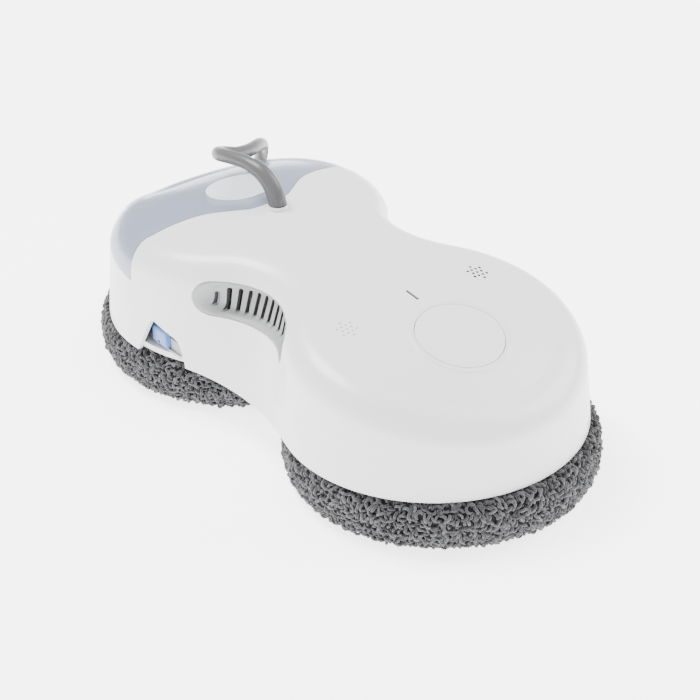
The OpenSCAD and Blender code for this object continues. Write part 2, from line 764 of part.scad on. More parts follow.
module fan_impeller() {
    low = fan_z + fan_wall + impeller_gap;
    color("black") difference() {
        union() {
            translate([0, 0, low + impeller_h - blade_t]) cylinder(h = blade_t, r = impeller_r,
                $fn = fine_fn);
            translate([0, 0, low]) cylinder(h = impeller_h, r = hub_small_r, $fn = round_fn);
            for (i = [0 : blades - 1]) rotate([0, 0, 360*i/blades]) translate([hub_small_r/2, 0, low])
                rotate([0, 0, blade_lean]) translate([0, -blade_t/2, 0])
                cube([impeller_r*cos(blade_lean) - hub_small_r/2, blade_t, impeller_h - blade_t/2]);
        }
        translate([0, 0, low - over]) cylinder(h = impeller_h + 2*over, r = fan_shaft_r, $fn = small_fn);
    }
}
module fan_shaft() {
    low = fan_z + fan_wall + impeller_gap;
    color("silver") translate([0, 0, low])
        cylinder(h = fan_top + fan_cover_t + fan_motor_h - 2*over - low, r = fan_shaft_r, $fn = small_fn);
}

// Battery under the duct
cell_l = 48;
cell_w = 27;
cell_t = 4.6;
cell_gap = 0.3;
tray_wall = 1.2;
tray_z = base_top;
module battery_cells() {
    color("royalblue") for (i = [0, 1]) for (k = [0, 1])
        translate([(i - 1)*cell_w + (i - 0.5)*cell_gap, -cell_l/2,
            tray_z + tray_wall + cell_gap + k*(cell_t + cell_gap)])
        cube([cell_w, cell_l, cell_t]);
}
module battery_tray() {
    in_x = cell_w + cell_gap;
    in_y = cell_l/2 + cell_gap;
    color("gainsboro") translate([0, 0, tray_z]) difference() {
        translate([-in_x - tray_wall, -in_y - tray_wall, 0])
            cube([2*(in_x + tray_wall), 2*(in_y + tray_wall), tray_wall + cell_t]);
        translate([-in_x, -in_y, tray_wall]) cube([2*in_x, 2*in_y, cell_t + over]);
    }
}

// Main board over the front gear cover
board_x0 = 63;
board_x1 = 108;
board_half = 35;
board_lift = 2.5;
board_z = duct_top + board_lift;
board_post_r = 2.4;
board_in = 3;
board_front_in = 7;
board_front_y = 26;
board_posts = [
    [board_x1 - board_front_in, board_front_y], [board_x1 - board_front_in, -board_front_y],
    [board_x0 + board_in, board_half - board_in], [board_x0 + board_in, board_in - board_half]
];
cap_r = 3;
cap_h = 6;
chip = 9;
chip_h = 1.4;
socket_w = 10;
socket_h = 4.5;
module main_board() {
    color("seagreen") difference() {
        translate([board_x0, -board_half, board_z])
            cube([board_x1 - board_x0, 2*board_half, board_t]);
        for (q = board_posts) translate([q[0], q[1], board_z - over])
            cylinder(h = board_t + 2*over, r = screw_r - clear, $fn = small_fn);
    }
}
module board_parts() {
    top = board_z + board_t;
    color("black") {
        translate([board_x0 + chip, -chip/2, top]) cube([chip, chip, chip_h]);
        translate([board_x0 + 3*chip, chip, top]) cube([chip, chip/2, chip_h]);
        translate([board_x0 + chip/2, chip + cap_r, top]) cylinder(h = cap_h, r = cap_r, $fn = small_fn);
        translate([board_x0 + chip/2, -chip - cap_r, top]) cylinder(h = cap_h, r = cap_r, $fn = small_fn);
        translate([board_x0 + 2*chip, -board_half + chip/4, top]) cube([socket_w, chip/2, socket_h]);
        translate([board_x0 + 2*chip, board_half - 3*chip/4, top]) cube([socket_w, chip/2, socket_h]);
    }
}

// Button, its board and its switch
module power_button() {
    low = -button_skirt - button_flange_t;
    color("white") {
        difference() {
            union() {
                intersection() {
                    body_form(0, rim_z);
                    at_button() translate([0, 0, -button_skirt])
                        cylinder(h = edge_r, r = button_r, $fn = fine_fn);
                }
                at_button() translate([0, 0, low])
                    cylinder(h = button_skirt, r = button_r, $fn = fine_fn);
                at_button() translate([0, 0, low])
                    cylinder(h = button_flange_t, r = button_r + button_flange, $fn = fine_fn);
            }
            at_button() translate([0, 0, low - over])
                cylinder(h = over - low - button_cap_t, r = button_r - shell_wall, $fn = fine_fn);
        }
        at_button() translate([0, 0, plunger_z])
            cylinder(h = -plunger_z - button_cap_t/2, r = plunger_r, $fn = small_fn);
    }
}
module button_board() {
    color("seagreen") at_button() translate([-switch_w, -post_y - post_r, -board_drop - board_t])
        cube([2*switch_w, 2*(post_y + post_r), board_t]);
}
module tact_switch() {
    color("black") at_button() translate([-switch_w/2, -switch_w/2, -board_drop])
        cube([switch_w, switch_w, switch_h]);
}
module status_light() {
    bar_l = light_len - 2*run_clear;
    bar_w = light_w - 2*run_clear;
    color("white") at_light() {
        translate([-bar_l/2, -bar_w/2, -light_drop]) cube([bar_l, bar_w, light_drop]);
        translate([-light_len/2 - light_flange, -light_w/2 - light_flange, -light_drop])
            cube([light_len + 2*light_flange, light_w + 2*light_flange, light_drop - shell_wall - clear]);
    }
}

// Sound pieces under the holes, against rings of the shell
speaker_r = 9;
speaker_h = 5;
buzzer_r = 8;
buzzer_h = 4;
module sound_piece(side, r, h) {
    translate([sound_x, side*sound_y, sound_z - h]) cylinder(h = h, r = r, $fn = round_fn);
}
module speaker() {
    color("black") sound_piece(1, speaker_r, speaker_h);
}
module alarm_buzzer() {
    color("black") sound_piece(-1, buzzer_r, buzzer_h);
}

// Cord outlet pieces
module cable_grommet() {
    color("white") translate([outlet_x, 0, 0]) difference() {
        union() {
            translate([0, 0, outlet_z]) cylinder(h = collar_h, r = collar_r, $fn = round_fn);
            translate([0, 0, clamp_top + clear]) cylinder(h = outlet_z + collar_h/2 - clamp_top - clear, r = collar_neck_r, $fn = round_fn);
        }
        translate([0, 0, clamp_top - over])
            cylinder(h = edge_r + 2*over, r = cord_r + cord_clear, $fn = round_fn);
    }
}
module cable_clamp() {
    color("lightgray") translate([outlet_x - clamp_t/2, -clamp_w/2, clamp_top - clamp_h])
        cube([clamp_t, clamp_w, clamp_h]);
}

// Cord: a swept tube with a frame carried from ring to ring
function unit(v) = v/norm(v);
function tangent(p, i) = unit(p[min(i + 1, len(p) - 1)] - p[max(i - 1, 0)]);
function frames(p, i = 0, u = [0, 1, 0]) =
    i == len(p) ? [] :
    let (t = tangent(p, i), v = unit(u - t*(u*t)))
    concat([[v, cross(t, v)]], frames(p, i + 1, v));
function tube_points(p, radii, sides) =
    let (f = frames(p))
    [for (i = [0 : len(p) - 1]) for (k = [0 : sides - 1])
        p[i] + radii[i]*(cos(360*k/sides)*f[i][0] + sin(360*k/sides)*f[i][1])];
function tube_faces(n, sides) = concat(
    [[for (k = [0 : sides - 1]) k]],
    [for (i = [0 : n - 2]) for (k = [0 : sides - 1])
        let (a = i*sides + k, b = i*sides + (k + 1)%sides)
        each [[a, a + sides, b + sides], [a, b + sides, b]]],
    [[for (k = [sides - 1 : -1 : 0]) (n - 1)*sides + k]]
);
module tube(p, r, sides) {
    polyhedron(tube_points(p, [for (q = p) r], sides), tube_faces(len(p), sides), convexity = 10);
}
cord_sides = 10;
cord_route = [
    [-44.4, 0, 78], [-44.4, 0, 86], [-45.1, -0.1, 91.2], [-47.2, -0.4, 95.9], [-50.6, -0.9, 99.8],
    [-55, -1.5, 102.5],
    [-60.3, -2.2, 103.8], [-66.6, -2.8, 104], [-73.4, -3.4, 103.4], [-80, -3.6, 102.3], [-86, -2.9, 100.7],
    [-91.4, -0.6, 98.7], [-95.3, 3, 96.3], [-98, 8.4, 93.6], [-99.6, 15, 90.6], [-102.4, 21.9, 88.1],
    [-106.2, 29, 85.7], [-111.4, 36.4, 83.2], [-117.7, 43.6, 80], [-124.4, 50, 75.2], [-130.9, 54.8, 68.2],
    [-136.7, 57.2, 59.3], [-141.5, 56.8, 49.6], [-145.6, 54.4, 39.9], [-149.6, 50.8, 31.2], [-154,
    47.2, 23.6],
    [-159.4, 44.6, 17.4], [-165.8, 44.2, 13.4], [-173.5, 46.3, 11.9]
];
relief_points = 5;
relief_r = 4.5;
relief_end_r = 3.9;
relief_gap = 0.15;
module power_cord() {
    color("gray") tube(cord_route, cord_r, cord_sides);
}

// Strain relief: a tapered sleeve round the first stretch of the cord
module strain_relief() {
    n = relief_points;
    low = cord_route[1];
    next = cord_route[2];
    lean = norm([next[0] - low[0], next[1] - low[1]])/(next[2] - low[2]);
    start = low + (next - low)*(outlet_z + collar_h + relief_r*lean + relief_gap - low[2])/(next[2] - low[2]);
    path = concat([start], [for (i = [2 : n + 1]) cord_route[i]]);
    radii = [for (i = [0 : n]) relief_r + (relief_end_r - relief_r)*i/n];
    inner = [for (i = [0 : n]) cord_r + cord_clear];
    s = cord_sides;
    pts = concat(tube_points(path, radii, s), tube_points(path, inner, s));
    m = (n + 1)*s;
    color("gray") polyhedron(pts, concat(
        [for (i = [0 : n - 1]) for (k = [0 : s - 1])
            let (a = i*s + k, b = i*s + (k + 1)%s)
            each [[a, a + s, b + s], [a, b + s, b], [m + a, m + b + s, m + a + s], [m + a, m + b,
                m + b + s]]],
        [for (k = [0 : s - 1]) let (b = (k + 1)%s) each [[k, b, m + b], [k, m + b, m + k]]],
        [for (k = [0 : s - 1]) let (a = n*s + k, b = n*s + (k + 1)%s)
            each [[a, m + a, m + b], [a, m + b, b]]]
    ), convexity = 6);
}

// Coil: two layers, spiralling in above and out again below
coil_x = -165;
coil_y = 90;
coil_a0 = 250;
coil_r = 44;
coil_turns = 4.25;
coil_play = 0.6;
coil_pitch = cord_d + coil_play;
coil_lift = 0.8;
coil_rings = 24;
coil_sides = 6;
coil_a1 = coil_a0 - 360*coil_turns;
function coil_dir(a) = [sin(a), -cos(a), 0];
function coil_height(t) =
    coil_lift + cord_r + coil_pitch*clip(coil_turns + 0.5 - 2*t, 0, 1);
function coil_point(t) =
    let (r = coil_r - coil_pitch*min(t, coil_turns - t), a = coil_a0 - 360*t)
    [coil_x + r*cos(a), coil_y + r*sin(a), coil_height(t)];
coil_end = coil_point(coil_turns) + cord_d*coil_dir(coil_a1);
coil_route = concat(
    [coil_point(0) - cord_d*coil_dir(coil_a0)],
    [for (i = [0 : coil_rings*coil_turns]) coil_point(i/coil_rings)],
    [coil_end]
);
coil_gap = min([for (i = [0 : len(coil_route) - 1]) for (k = [i + coil_rings/2 : len(coil_route) - 1])
    norm(coil_route[i] - coil_route[k])]) - cord_d;
echo(coil_gap = coil_gap);
function path_length(p) = len(p) < 2 ? 0 : norm([for (i = [1 : len(p) - 1]) sqrt(norm(p[i] - p[i - 1]))])^2;
echo(cord_length = path_length(cord_route) + path_length(coil_route));
module cord_coil() {
    color("gray") tube(coil_route, cord_r, coil_sides);
}

// Tie round the coil's turns
tie_in = 26.4;
tie_out = 44.2;
tie_t = 0.6;
tie_w = 10;
tie_top = coil_lift + 2*cord_r + coil_pitch + clear;
module cord_tie() {
    color("dimgray") translate([coil_x, coil_y, 0]) difference() {
        translate([tie_in - tie_t, -tie_w/2, 0]) cube([tie_out - tie_in + 2*tie_t, tie_w, tie_top + tie_t]);
        translate([tie_in, -tie_w/2 - over, tie_t]) cube([tie_out - tie_in, tie_w + 2*over, tie_top - tie_t]);
    }
}

// Plug on the end of the cord
plug_r = 4.3;
plug_len = 26;
plug_neck = 8;
barrel_r = 2.75;
barrel_len = 9.5;
barrel_bore_r = 1.05;
barrel_root = 3;
barrel_root_r = 2.4;
barrel_neck = 0.3;
module at_plug() {
    translate(coil_end) rotate([0, 90, coil_a1 - 90]) children();
}
module dc_plug() {
    color("dimgray") at_plug() difference() {
        union() {
            cylinder(h = plug_neck, r1 = cord_r, r2 = plug_r, $fn = round_fn);
            translate([0, 0, plug_neck]) cylinder(h = plug_len - plug_neck, r = plug_r, $fn = round_fn);
        }
        translate([0, 0, plug_len - barrel_root]) cylinder(h = barrel_root + over, r = barrel_root_r,
            $fn = round_fn);
    }
}
module plug_barrel() {
    color("silver") at_plug() translate([0, 0, plug_len - barrel_root]) difference() {
        union() {
            cylinder(h = barrel_root + 2*barrel_neck, r = barrel_root_r, $fn = round_fn);
            translate([0, 0, barrel_root + barrel_neck])
                cylinder(h = barrel_len - barrel_neck, r = barrel_r, $fn = round_fn);
        }
        translate([0, 0, barrel_root + 2*barrel_neck])
            cylinder(h = barrel_len + over, r = barrel_bore_r, $fn = small_fn);
    }
}

// Water tank with its spout
module water_tank() {
    color([0.75, 0.8, 0.9, 0.6]) difference() {
        union() {
            difference() {
                intersection() {
                    body_form(0, rim_z);
                    tank_zone(-tank_gap);
                }
                difference() {
                    intersection() {
                        body_form(tank_wall, rim_z);
                        tank_zone(-tank_gap - tank_wall);
                    }
                    tank_window(tank_wall);
                }
            }
            at_spout() translate([0, 0, -spout_root])
                cylinder(h = spout_root + spout_len, r = spout_r, $fn = round_fn);
        }
        tank_window(0);
        at_spout() translate([0, 0, -spout_root - over])
            cylinder(h = spout_root + spout_len + 2*over, r = spout_bore_r, $fn = small_fn);
    }
}
module tank_valve() {
    color("dimgray") at_spout() translate([0, 0, spout_len - seal_t])
        cylinder(h = seal_t, r = spout_bore_r - run_clear, $fn = small_fn);
}
module tank_seal() {
    color("dimgray") at_spout() difference() {
        union() {
            translate([0, 0, seal_in]) cylinder(h = seal_t, r = seal_r, $fn = small_fn);
            translate([0, 0, seal_in]) cylinder(h = seal_t + seal_neck, r = seal_neck_r, $fn = small_fn);
        }
        translate([0, 0, seal_in - over])
            cylinder(h = over + spout_len - seal_in + clear, r = spout_r + run_clear, $fn = round_fn);
        cylinder(h = seal_in + seal_t + seal_neck + over, r = spout_bore_r, $fn = small_fn);
    }
}

// Pump, hoses and spray nozzles
pump_x = -100;
pump_y = 31;
pump_r = 8.5;
pump_len = 22;
cradle_l = 12;
pump_z = cover_top + pump_r;
hose_r = 2;
hose_sides = 8;
nozzle_x = -54.5;
nozzle_y0 = 58.5;
nozzle_w = 11;
nozzle_d = 9;
nozzle_h = 10;
nozzle_hole_r = 0.8;
holder_t = 1.2;
holder_w = 8.5;
holder_d = 6;
holder_h = 7;
nozzle_z = base_top + holder_t + clear;
feed_route = [
    [-55.4, 31, 74.05], [-51, 31, 73.4], [-47.5, 31, 71], [-45.5, 31, 67], [-45, 31, 62], [-46.5, 31, 57],
    [-50.5, 31, 53], [-57, 31, 51], [-66, 31, 50.7], [-78, 31, 50.7], [-88.7, 31, 50.7]
];
left_route = [
    [-111.3, 33.5, 50.7], [-113.3, 33.5, 50.6], [-115.4, 35.2, 49.6], [-114.8, 39.5, 47], [-108, 46.5,
    43], [-95, 51, 40],
    [-75, 54, 37.5], [-60, 54, 36], [-55.5, 55.5, 35.5], [-54.5, 58.2, 35.5]
];
right_route = [
    [-111.3, 28.5, 50.7], [-113.3, 28.5, 50.6], [-115.4, 26.4, 50], [-116.2, 12, 48.4], [-116, -14,
    47], [-112, -34, 45],
    [-102, -46, 42], [-86, -53, 39], [-70, -54.5, 37], [-59, -54, 36], [-55.2, -55.5, 35.5],
    [-54.5, -58.2, 35.5]
];
module hose(route) {
    color("lightgray") tube(route, hose_r, hose_sides);
}
module water_pump() {
    color("dimgray") translate([pump_x - pump_len/2, pump_y, pump_z]) rotate([0, 90, 0])
        cylinder(h = pump_len, r = pump_r, $fn = round_fn);
}
module nozzle() {
    color("steelblue") translate([nozzle_x - nozzle_w/2, nozzle_y0, nozzle_z]) difference() {
        union() {
            cube([nozzle_w, nozzle_d - nozzle_h/4, nozzle_h]);
            translate([0, nozzle_d - nozzle_h/4, nozzle_h/4]) rotate([0, 90, 0])
                cylinder(h = nozzle_w, r = nozzle_h/4, $fn = small_fn);
            translate([0, 0, nozzle_h/4]) cube([nozzle_w, nozzle_d - nozzle_h/4, 3*nozzle_h/4]);
            translate([0, 0, nozzle_h/4]) cube([nozzle_w, nozzle_d - nozzle_h/8, nozzle_h/2]);
        }
        translate([nozzle_w/2, nozzle_d/2, nozzle_h/4]) rotate([-90, 0, 0])
            cylinder(h = nozzle_d, r = nozzle_hole_r, $fn = small_fn);
    }
}
module nozzle_holder() {
    x0 = nozzle_x - nozzle_w/2;
    color("whitesmoke") translate([x0, nozzle_y0, base_top]) {
        cube([nozzle_w + clear + holder_w, holder_d + holder_t, holder_t]);
        translate([nozzle_w + clear, 0, 0]) cube([holder_w, holder_d, holder_h]);
    }
}

top_shell();
base_chassis();
vent_grille();  // right_vent_grille
mirror([0, 1, 0]) vent_grille();  // left_vent_grille
status_light();
cable_grommet();
cable_clamp();
strain_relief();
power_cord();
cord_coil();
cord_tie();
dc_plug();
plug_barrel();
bush(wheel_x);  // front_bush
bush(-wheel_x);  // rear_bush
gear_cover(wheel_x);  // front_gear_cover
gear_cover(-wheel_x);  // rear_gear_cover
gearmotor(wheel_x);  // front_gearmotor
gearmotor(-wheel_x);  // rear_gearmotor
suction_duct();
fan_housing();
fan_cover();
fan_motor();
battery_cells();
battery_tray();
main_board();
board_parts();
button_board();
tact_switch();
speaker();
alarm_buzzer();
water_pump();
tank_seal();
hose(feed_route);  // feed_hose
hose(left_route);  // left_spray_hose
hose(right_route);  // right_spray_hose
nozzle();  // left_nozzle
mirror([0, 1, 0]) nozzle();  // right_nozzle
nozzle_holder();  // left_nozzle_holder
mirror([0, 1, 0]) nozzle_holder();  // right_nozzle_holder
housing_screws();
cover_screws();
disc(wheel_x);  // front_disc
wheel_gear(wheel_x);  // front_gear
gear_screws(wheel_x);  // front_gear_screws
hook_ring(wheel_x);  // front_hook_ring
pad(wheel_x);  // front_pad
disc(-wheel_x);  // rear_disc
wheel_gear(-wheel_x);  // rear_gear
gear_screws(-wheel_x);  // rear_gear_screws
hook_ring(-wheel_x);  // rear_hook_ring
pad(-wheel_x);  // rear_pad
pinion(wheel_x);  // front_pinion
pinion(-wheel_x);  // rear_pinion
fan_impeller();
fan_shaft();
power_button();
water_tank();
tank_valve();
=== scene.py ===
import math
import random

import bmesh
import bpy
from mathutils import Matrix, Vector, noise
from mathutils.bvhtree import BVHTree
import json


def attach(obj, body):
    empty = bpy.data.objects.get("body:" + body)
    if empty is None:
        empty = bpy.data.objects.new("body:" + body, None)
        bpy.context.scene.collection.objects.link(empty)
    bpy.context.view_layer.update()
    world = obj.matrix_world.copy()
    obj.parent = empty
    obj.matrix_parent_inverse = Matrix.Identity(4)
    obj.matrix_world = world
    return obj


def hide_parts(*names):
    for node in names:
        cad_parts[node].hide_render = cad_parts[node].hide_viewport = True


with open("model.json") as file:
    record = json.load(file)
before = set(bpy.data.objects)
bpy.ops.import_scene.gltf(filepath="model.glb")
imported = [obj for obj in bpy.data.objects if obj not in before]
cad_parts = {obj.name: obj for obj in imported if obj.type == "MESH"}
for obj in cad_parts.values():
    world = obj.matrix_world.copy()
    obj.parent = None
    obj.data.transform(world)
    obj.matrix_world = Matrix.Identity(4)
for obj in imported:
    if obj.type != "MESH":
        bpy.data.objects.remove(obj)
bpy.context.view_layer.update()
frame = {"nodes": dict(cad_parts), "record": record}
nodes = frame["nodes"]
print("frame loaded:", len(nodes), "nodes")

mm = 0.001  # the sizes below are in millimetres, and pieces are scaled to metres when they are done


def newObject(name, data):
    made = bpy.data.objects.new(name, data)
    bpy.context.scene.collection.objects.link(made)
    return made


# The view of the photograph, which is 700 pixels square
photoView = {
    "azimuth": 51.48,
    "elevation": 31.59,
    "roll": -1.4,
    "distance": 965.74,
    "target": (0, 0, 40),
    "focalPixels": 2000,
    "imagePixels": 700,
    "offsetPixels": (-12.36, -24.95),
    "sensor": 36,
}


def makeCamera():
    v = photoView
    a, e, r = (math.radians(v[k]) for k in ("azimuth", "elevation", "roll"))
    back = Vector((math.sin(a) * math.cos(e), -math.cos(a) * math.cos(e), math.sin(e)))
    level = Vector((math.cos(a), math.sin(a), 0))
    above = back.cross(level)
    right = level * math.cos(r) + above * math.sin(r)
    up = above * math.cos(r) - level * math.sin(r)
    perPixel = v["distance"] / v["focalPixels"]
    place = Vector(v["target"]) + back * v["distance"]
    place += up * v["offsetPixels"][1] * perPixel - right * v["offsetPixels"][0] * perPixel
    camera = newObject("photoCamera", bpy.data.cameras.new("photoCamera"))
    camera.data.sensor_width = v["sensor"]
    camera.data.lens = v["sensor"] * v["focalPixels"] / v["imagePixels"]
    turn = Matrix((right, up, back)).transposed().to_4x4()
    camera.matrix_world = Matrix.Translation(place * mm) @ turn
    bpy.context.scene.camera = camera


makeCamera()
print("camera placed")


# Shader sums are written as Python expressions on this wrapper
class Value:
    def __init__(self, recipe, socket):
        self.recipe, self.socket = recipe, socket

    def maths(self, operation, other=None, swapped=False):
        pair = (other, self) if swapped else (self, other)
        given = {i: v for i, v in enumerate(pair) if v is not None}
        return self.recipe.add("ShaderNodeMath", {"operation": operation}, given)

    def __add__(self, other):
        return self.maths("ADD", other)

    def __sub__(self, other):
        return self.maths("SUBTRACT", other)

    def __rsub__(self, other):
        return self.maths("SUBTRACT", other, True)

    def __mul__(self, other):
        return self.maths("MULTIPLY", other)

    def __truediv__(self, other):
        return self.maths("DIVIDE", other)

    def __lt__(self, other):
        return self.maths("LESS_THAN", other)

    __radd__ = __add__
    __rmul__ = __mul__


class Recipe:
    def __init__(self, name):
        self.material = bpy.data.materials.new(name)
        self.material.use_nodes = True
        self.tree = self.material.node_tree
        self.tree.nodes.clear()
        self.place = self.add("ShaderNodeTexCoord", output="Object")

    def add(self, kind, settings=None, inputs=None, output=0):
        node = self.tree.nodes.new(kind)
        for key, value in (settings or {}).items():
            setattr(node, key, value)
        for key, value in (inputs or {}).items():
            socket = node.inputs[key]
            if isinstance(value, Value):
                self.tree.links.new(value.socket, socket)
            else:
                socket.default_value = value
        return Value(self, node.outputs[output]) if node.outputs else None

    def noise(self, size, detail=3, place=None, **more):
        given = {"Vector": place or self.place, "Scale": 1 / (size * mm), "Detail": detail, **more}
        return self.add("ShaderNodeTexNoise", None, given)

    # A roughness that wavers with the grain and the cloud
    def worn(self, rough, fine, clouds):
        return rough + (fine - 0.5) * 0.08 + (clouds - 0.5) * 0.05

    def mix(self, factor, first, second):
        settings = {"data_type": "RGBA", "clamp_factor": True}
        given = {0: factor, 6: rgba(first), 7: rgba(second)}
        return self.add("ShaderNodeMix", settings, given, output=2)

    # From a share of the colour to the colour itself
    def tint(self, factor, colour, share):
        return self.mix(factor, tuple(c * share for c in colour), colour)

    def bump(self, height, distance, **more):
        given = {"Height": height, "Distance": distance * mm, "Strength": 1.0, **more}
        return self.add("ShaderNodeBump", None, given)

    # Distance from the upright line at (x, 0), in units of rx along X and ry along Y
    def distance(self, x, rx, ry):
        given = {0: self.place, 1: (1 / (rx * mm), 1 / (ry * mm), 0), 2: (-x / rx, 0, 0)}
        offset = self.add("ShaderNodeVectorMath", {"operation": "MULTIPLY_ADD"}, given)
        return self.add("ShaderNodeVectorMath", {"operation": "LENGTH"}, {0: offset}, output="Value")

    def finish(self, inputs):
        shader = self.add("ShaderNodeBsdfPrincipled", None, inputs)
        self.add("ShaderNodeOutputMaterial", None, {"Surface": shader})
        return self.material


def rgba(colour):
    return colour if isinstance(colour, Value) else (*colour, 1)


# Moulded plastic: an even colour with a faint cloud, and a fine grain that breaks the gloss
def plastic(name, colour, rough, grain=0.5, depth=0.004, cloud=0.03, coat=0.0, **more):
    r = Recipe(name)
    clouds = r.noise(28, 2)
    fine = r.noise(grain, 4)
    return r.finish({
        "Base Color": r.tint(clouds, colour, 1 - cloud),
        "Roughness": r.worn(rough, fine, clouds),
        "Normal": r.bump(fine, depth),
        "Coat Weight": coat,
        **more,
    })


# Shell and grille plastic: darker, nearly black, where a face is marked with painted shade (walls of holes
# and slots), with a low ring round the button
def shellFinish(name, colour, rough, coat, ring=None):
    r = Recipe(name)
    shade = r.add("ShaderNodeAttribute", {"attribute_name": "shade"}, output="Fac")
    clouds = r.noise(28, 2)
    fine = r.noise(0.5, 4)
    normal = r.bump(fine, 0.004)
    if ring:
        away = (r.distance(ring["x"], ring["squeeze"], 1) - ring["radius"]) / ring["width"]
        normal = r.bump((away * away * -1).maths("EXPONENT"), ring["height"], Normal=normal)
    return r.finish({
        # Painted shade: marked faces are mixed to near black
        "Base Color": r.mix(shade, r.tint(clouds, colour, 0.988), (0.012, 0.012, 0.012)),
        "Roughness": r.worn(rough, fine, clouds) + shade * 0.3,
        "Normal": normal,
        "Coat Weight": coat,
    })


# Rubber: a fine grain under a faint smear
def rubber(name, colour, rough):
    r = Recipe(name)
    fine = r.noise(0.8, 5)
    smear = r.noise(14, 3)
    return r.finish({
        "Base Color": r.tint(smear, colour, 0.9),
        "Roughness": rough + (fine - 0.5) * 0.12,
        "Normal": r.bump(fine, 0.02),
        "Specular IOR Level": 0.4,
    })


# Turned or plated metal: fine tool marks, and duller here and there
def metal(name, colour, rough):
    r = Recipe(name)
    stretched = r.add("ShaderNodeMapping", None, {"Vector": r.place, "Scale": (1, 1, 9)})
    marks = r.noise(2.1, 4, stretched)
    dull = r.noise(6, 3)
    return r.finish({
        "Base Color": r.tint(dull, colour, 0.82),
        "Metallic": 1.0,
        "Roughness": rough + (marks - 0.5) * 0.18 + (dull - 0.5) * 0.1,
        "Normal": r.bump(marks, 0.006),
    })


# Circuit board: copper tracks under green mask
def boardFinish(name, mask, copper):
    r = Recipe(name)
    cells = {"Vector": r.place, "Scale": 1 / (3.2 * mm), "Randomness": 0.25}
    tracks = r.add("ShaderNodeTexVoronoi", {"feature": "DISTANCE_TO_EDGE"}, cells)
    track = tracks < 0.06
    return r.finish({
        "Base Color": r.mix(track, mask, copper),
        "Roughness": 0.32 + track * 0.1,
        "Normal": r.bump(track, 0.03),
    })


# Shrink wrap of the battery cells, with soft creases whose hollows are painted darker, as painted shade
def wrapFinish(name, colour):
    r = Recipe(name)
    creases = r.noise(5, 4, Distortion=1.5)
    return r.finish({
        "Base Color": r.tint(creases, colour, 0.8),
        "Roughness": 0.22 + creases * 0.12,
        "Normal": r.bump(creases, 0.08),
    })


# The tank's finger window, an ellipse seen from above
tankWindow = {"x": -76, "rx": 15, "ry": 17, "low": 50, "high": 100}


# Frosted tank plastic: blue-grey, paler towards its lower edge, with a pale wall round the window that glows,
# as painted light in the window
def tankFinish(name, upper, lower, pale, fadeFrom=60, fadeTo=76):
    w = tankWindow
    r = Recipe(name)
    height = r.add("ShaderNodeSeparateXYZ", None, {"Vector": r.place}, output="Z")
    share = r.add(
        "ShaderNodeMapRange",
        {"interpolation_type": "SMOOTHSTEP"},
        {"Value": height, "From Min": fadeFrom * mm, "From Max": fadeTo * mm},
    )
    glowingWall = r.distance(w["x"], w["rx"], w["ry"]) < 1.015
    clouds = r.noise(18, 2)
    fine = r.noise(0.6, 3)
    return r.finish({
        "Base Color": r.mix(glowingWall, r.mix(share + (clouds - 0.5) * 0.3, lower, upper), pale),
        # Painted light: the wall round the window glows pale, though it is no lamp
        "Emission Color": r.mix(glowingWall, (0, 0, 0), pale),
        "Emission Strength": 0.45,
        "Roughness": 0.24 + (fine - 0.5) * 0.08,
        "Alpha": (0.52 + share * 0.2 + (clouds - 0.5) * 0.06) * (1 - glowingWall) + glowingWall * 0.95,
        "Normal": r.bump(fine, 0.004),
        "Coat Weight": 0.25,
        "Coat Roughness": 0.12,
    })


# Chenille yarn: each curl has its own random tone, with painted shade deep in the pile, where lower clumps
# and the backing are darker, under a fuzz of fibres
def yarnFinish(name, dark, light):
    r = Recipe(name)
    toneAndShade = r.add("ShaderNodeAttribute", {"attribute_name": "toneAndShade"}, output="Fac")
    fibres = r.noise(0.35, 4, Distortion=0.8)
    return r.finish({
        # The per-curl value mixes random tone with painted shade for low clumps and the backing
        "Base Color": r.mix(toneAndShade * 0.85 + (fibres - 0.5) * 0.45, dark, light),
        "Roughness": 0.88 + (fibres - 0.5) * 0.1,
        "Normal": r.bump(fibres, 0.25),
        "Sheen Weight": 0.35,
        "Sheen Roughness": 0.5,
        "Specular IOR Level": 0.15,
    })


# Hook tape: rows of pale hooks on a dark ground
def hookFinish(name, colour):
    r = Recipe(name)
    cells = {"Vector": r.place, "Scale": 1 / (1.1 * mm), "Randomness": 0.35}
    hooks = r.add("ShaderNodeTexVoronoi", None, cells)
    return r.finish({
        "Base Color": r.tint(hooks, colour, 2.6),
        "Roughness": 0.7 + hooks * 0.15,
        "Normal": r.bump(1 - hooks, 0.35),
    })


# Button, and the low ring round it, which is an ellipse from above because the nose slopes
button = {
    "x": 88.1, "z": 75.2, "tilt": 14.4, "radius": 20.5, "thick": 3.4, "soft": 0.35, "gap": 0.35, "skirt": 4.6,
}
buttonRing = {"x": button["x"], "squeeze": 0.969, "radius": 22.4, "width": 0.9, "height": 0.4}

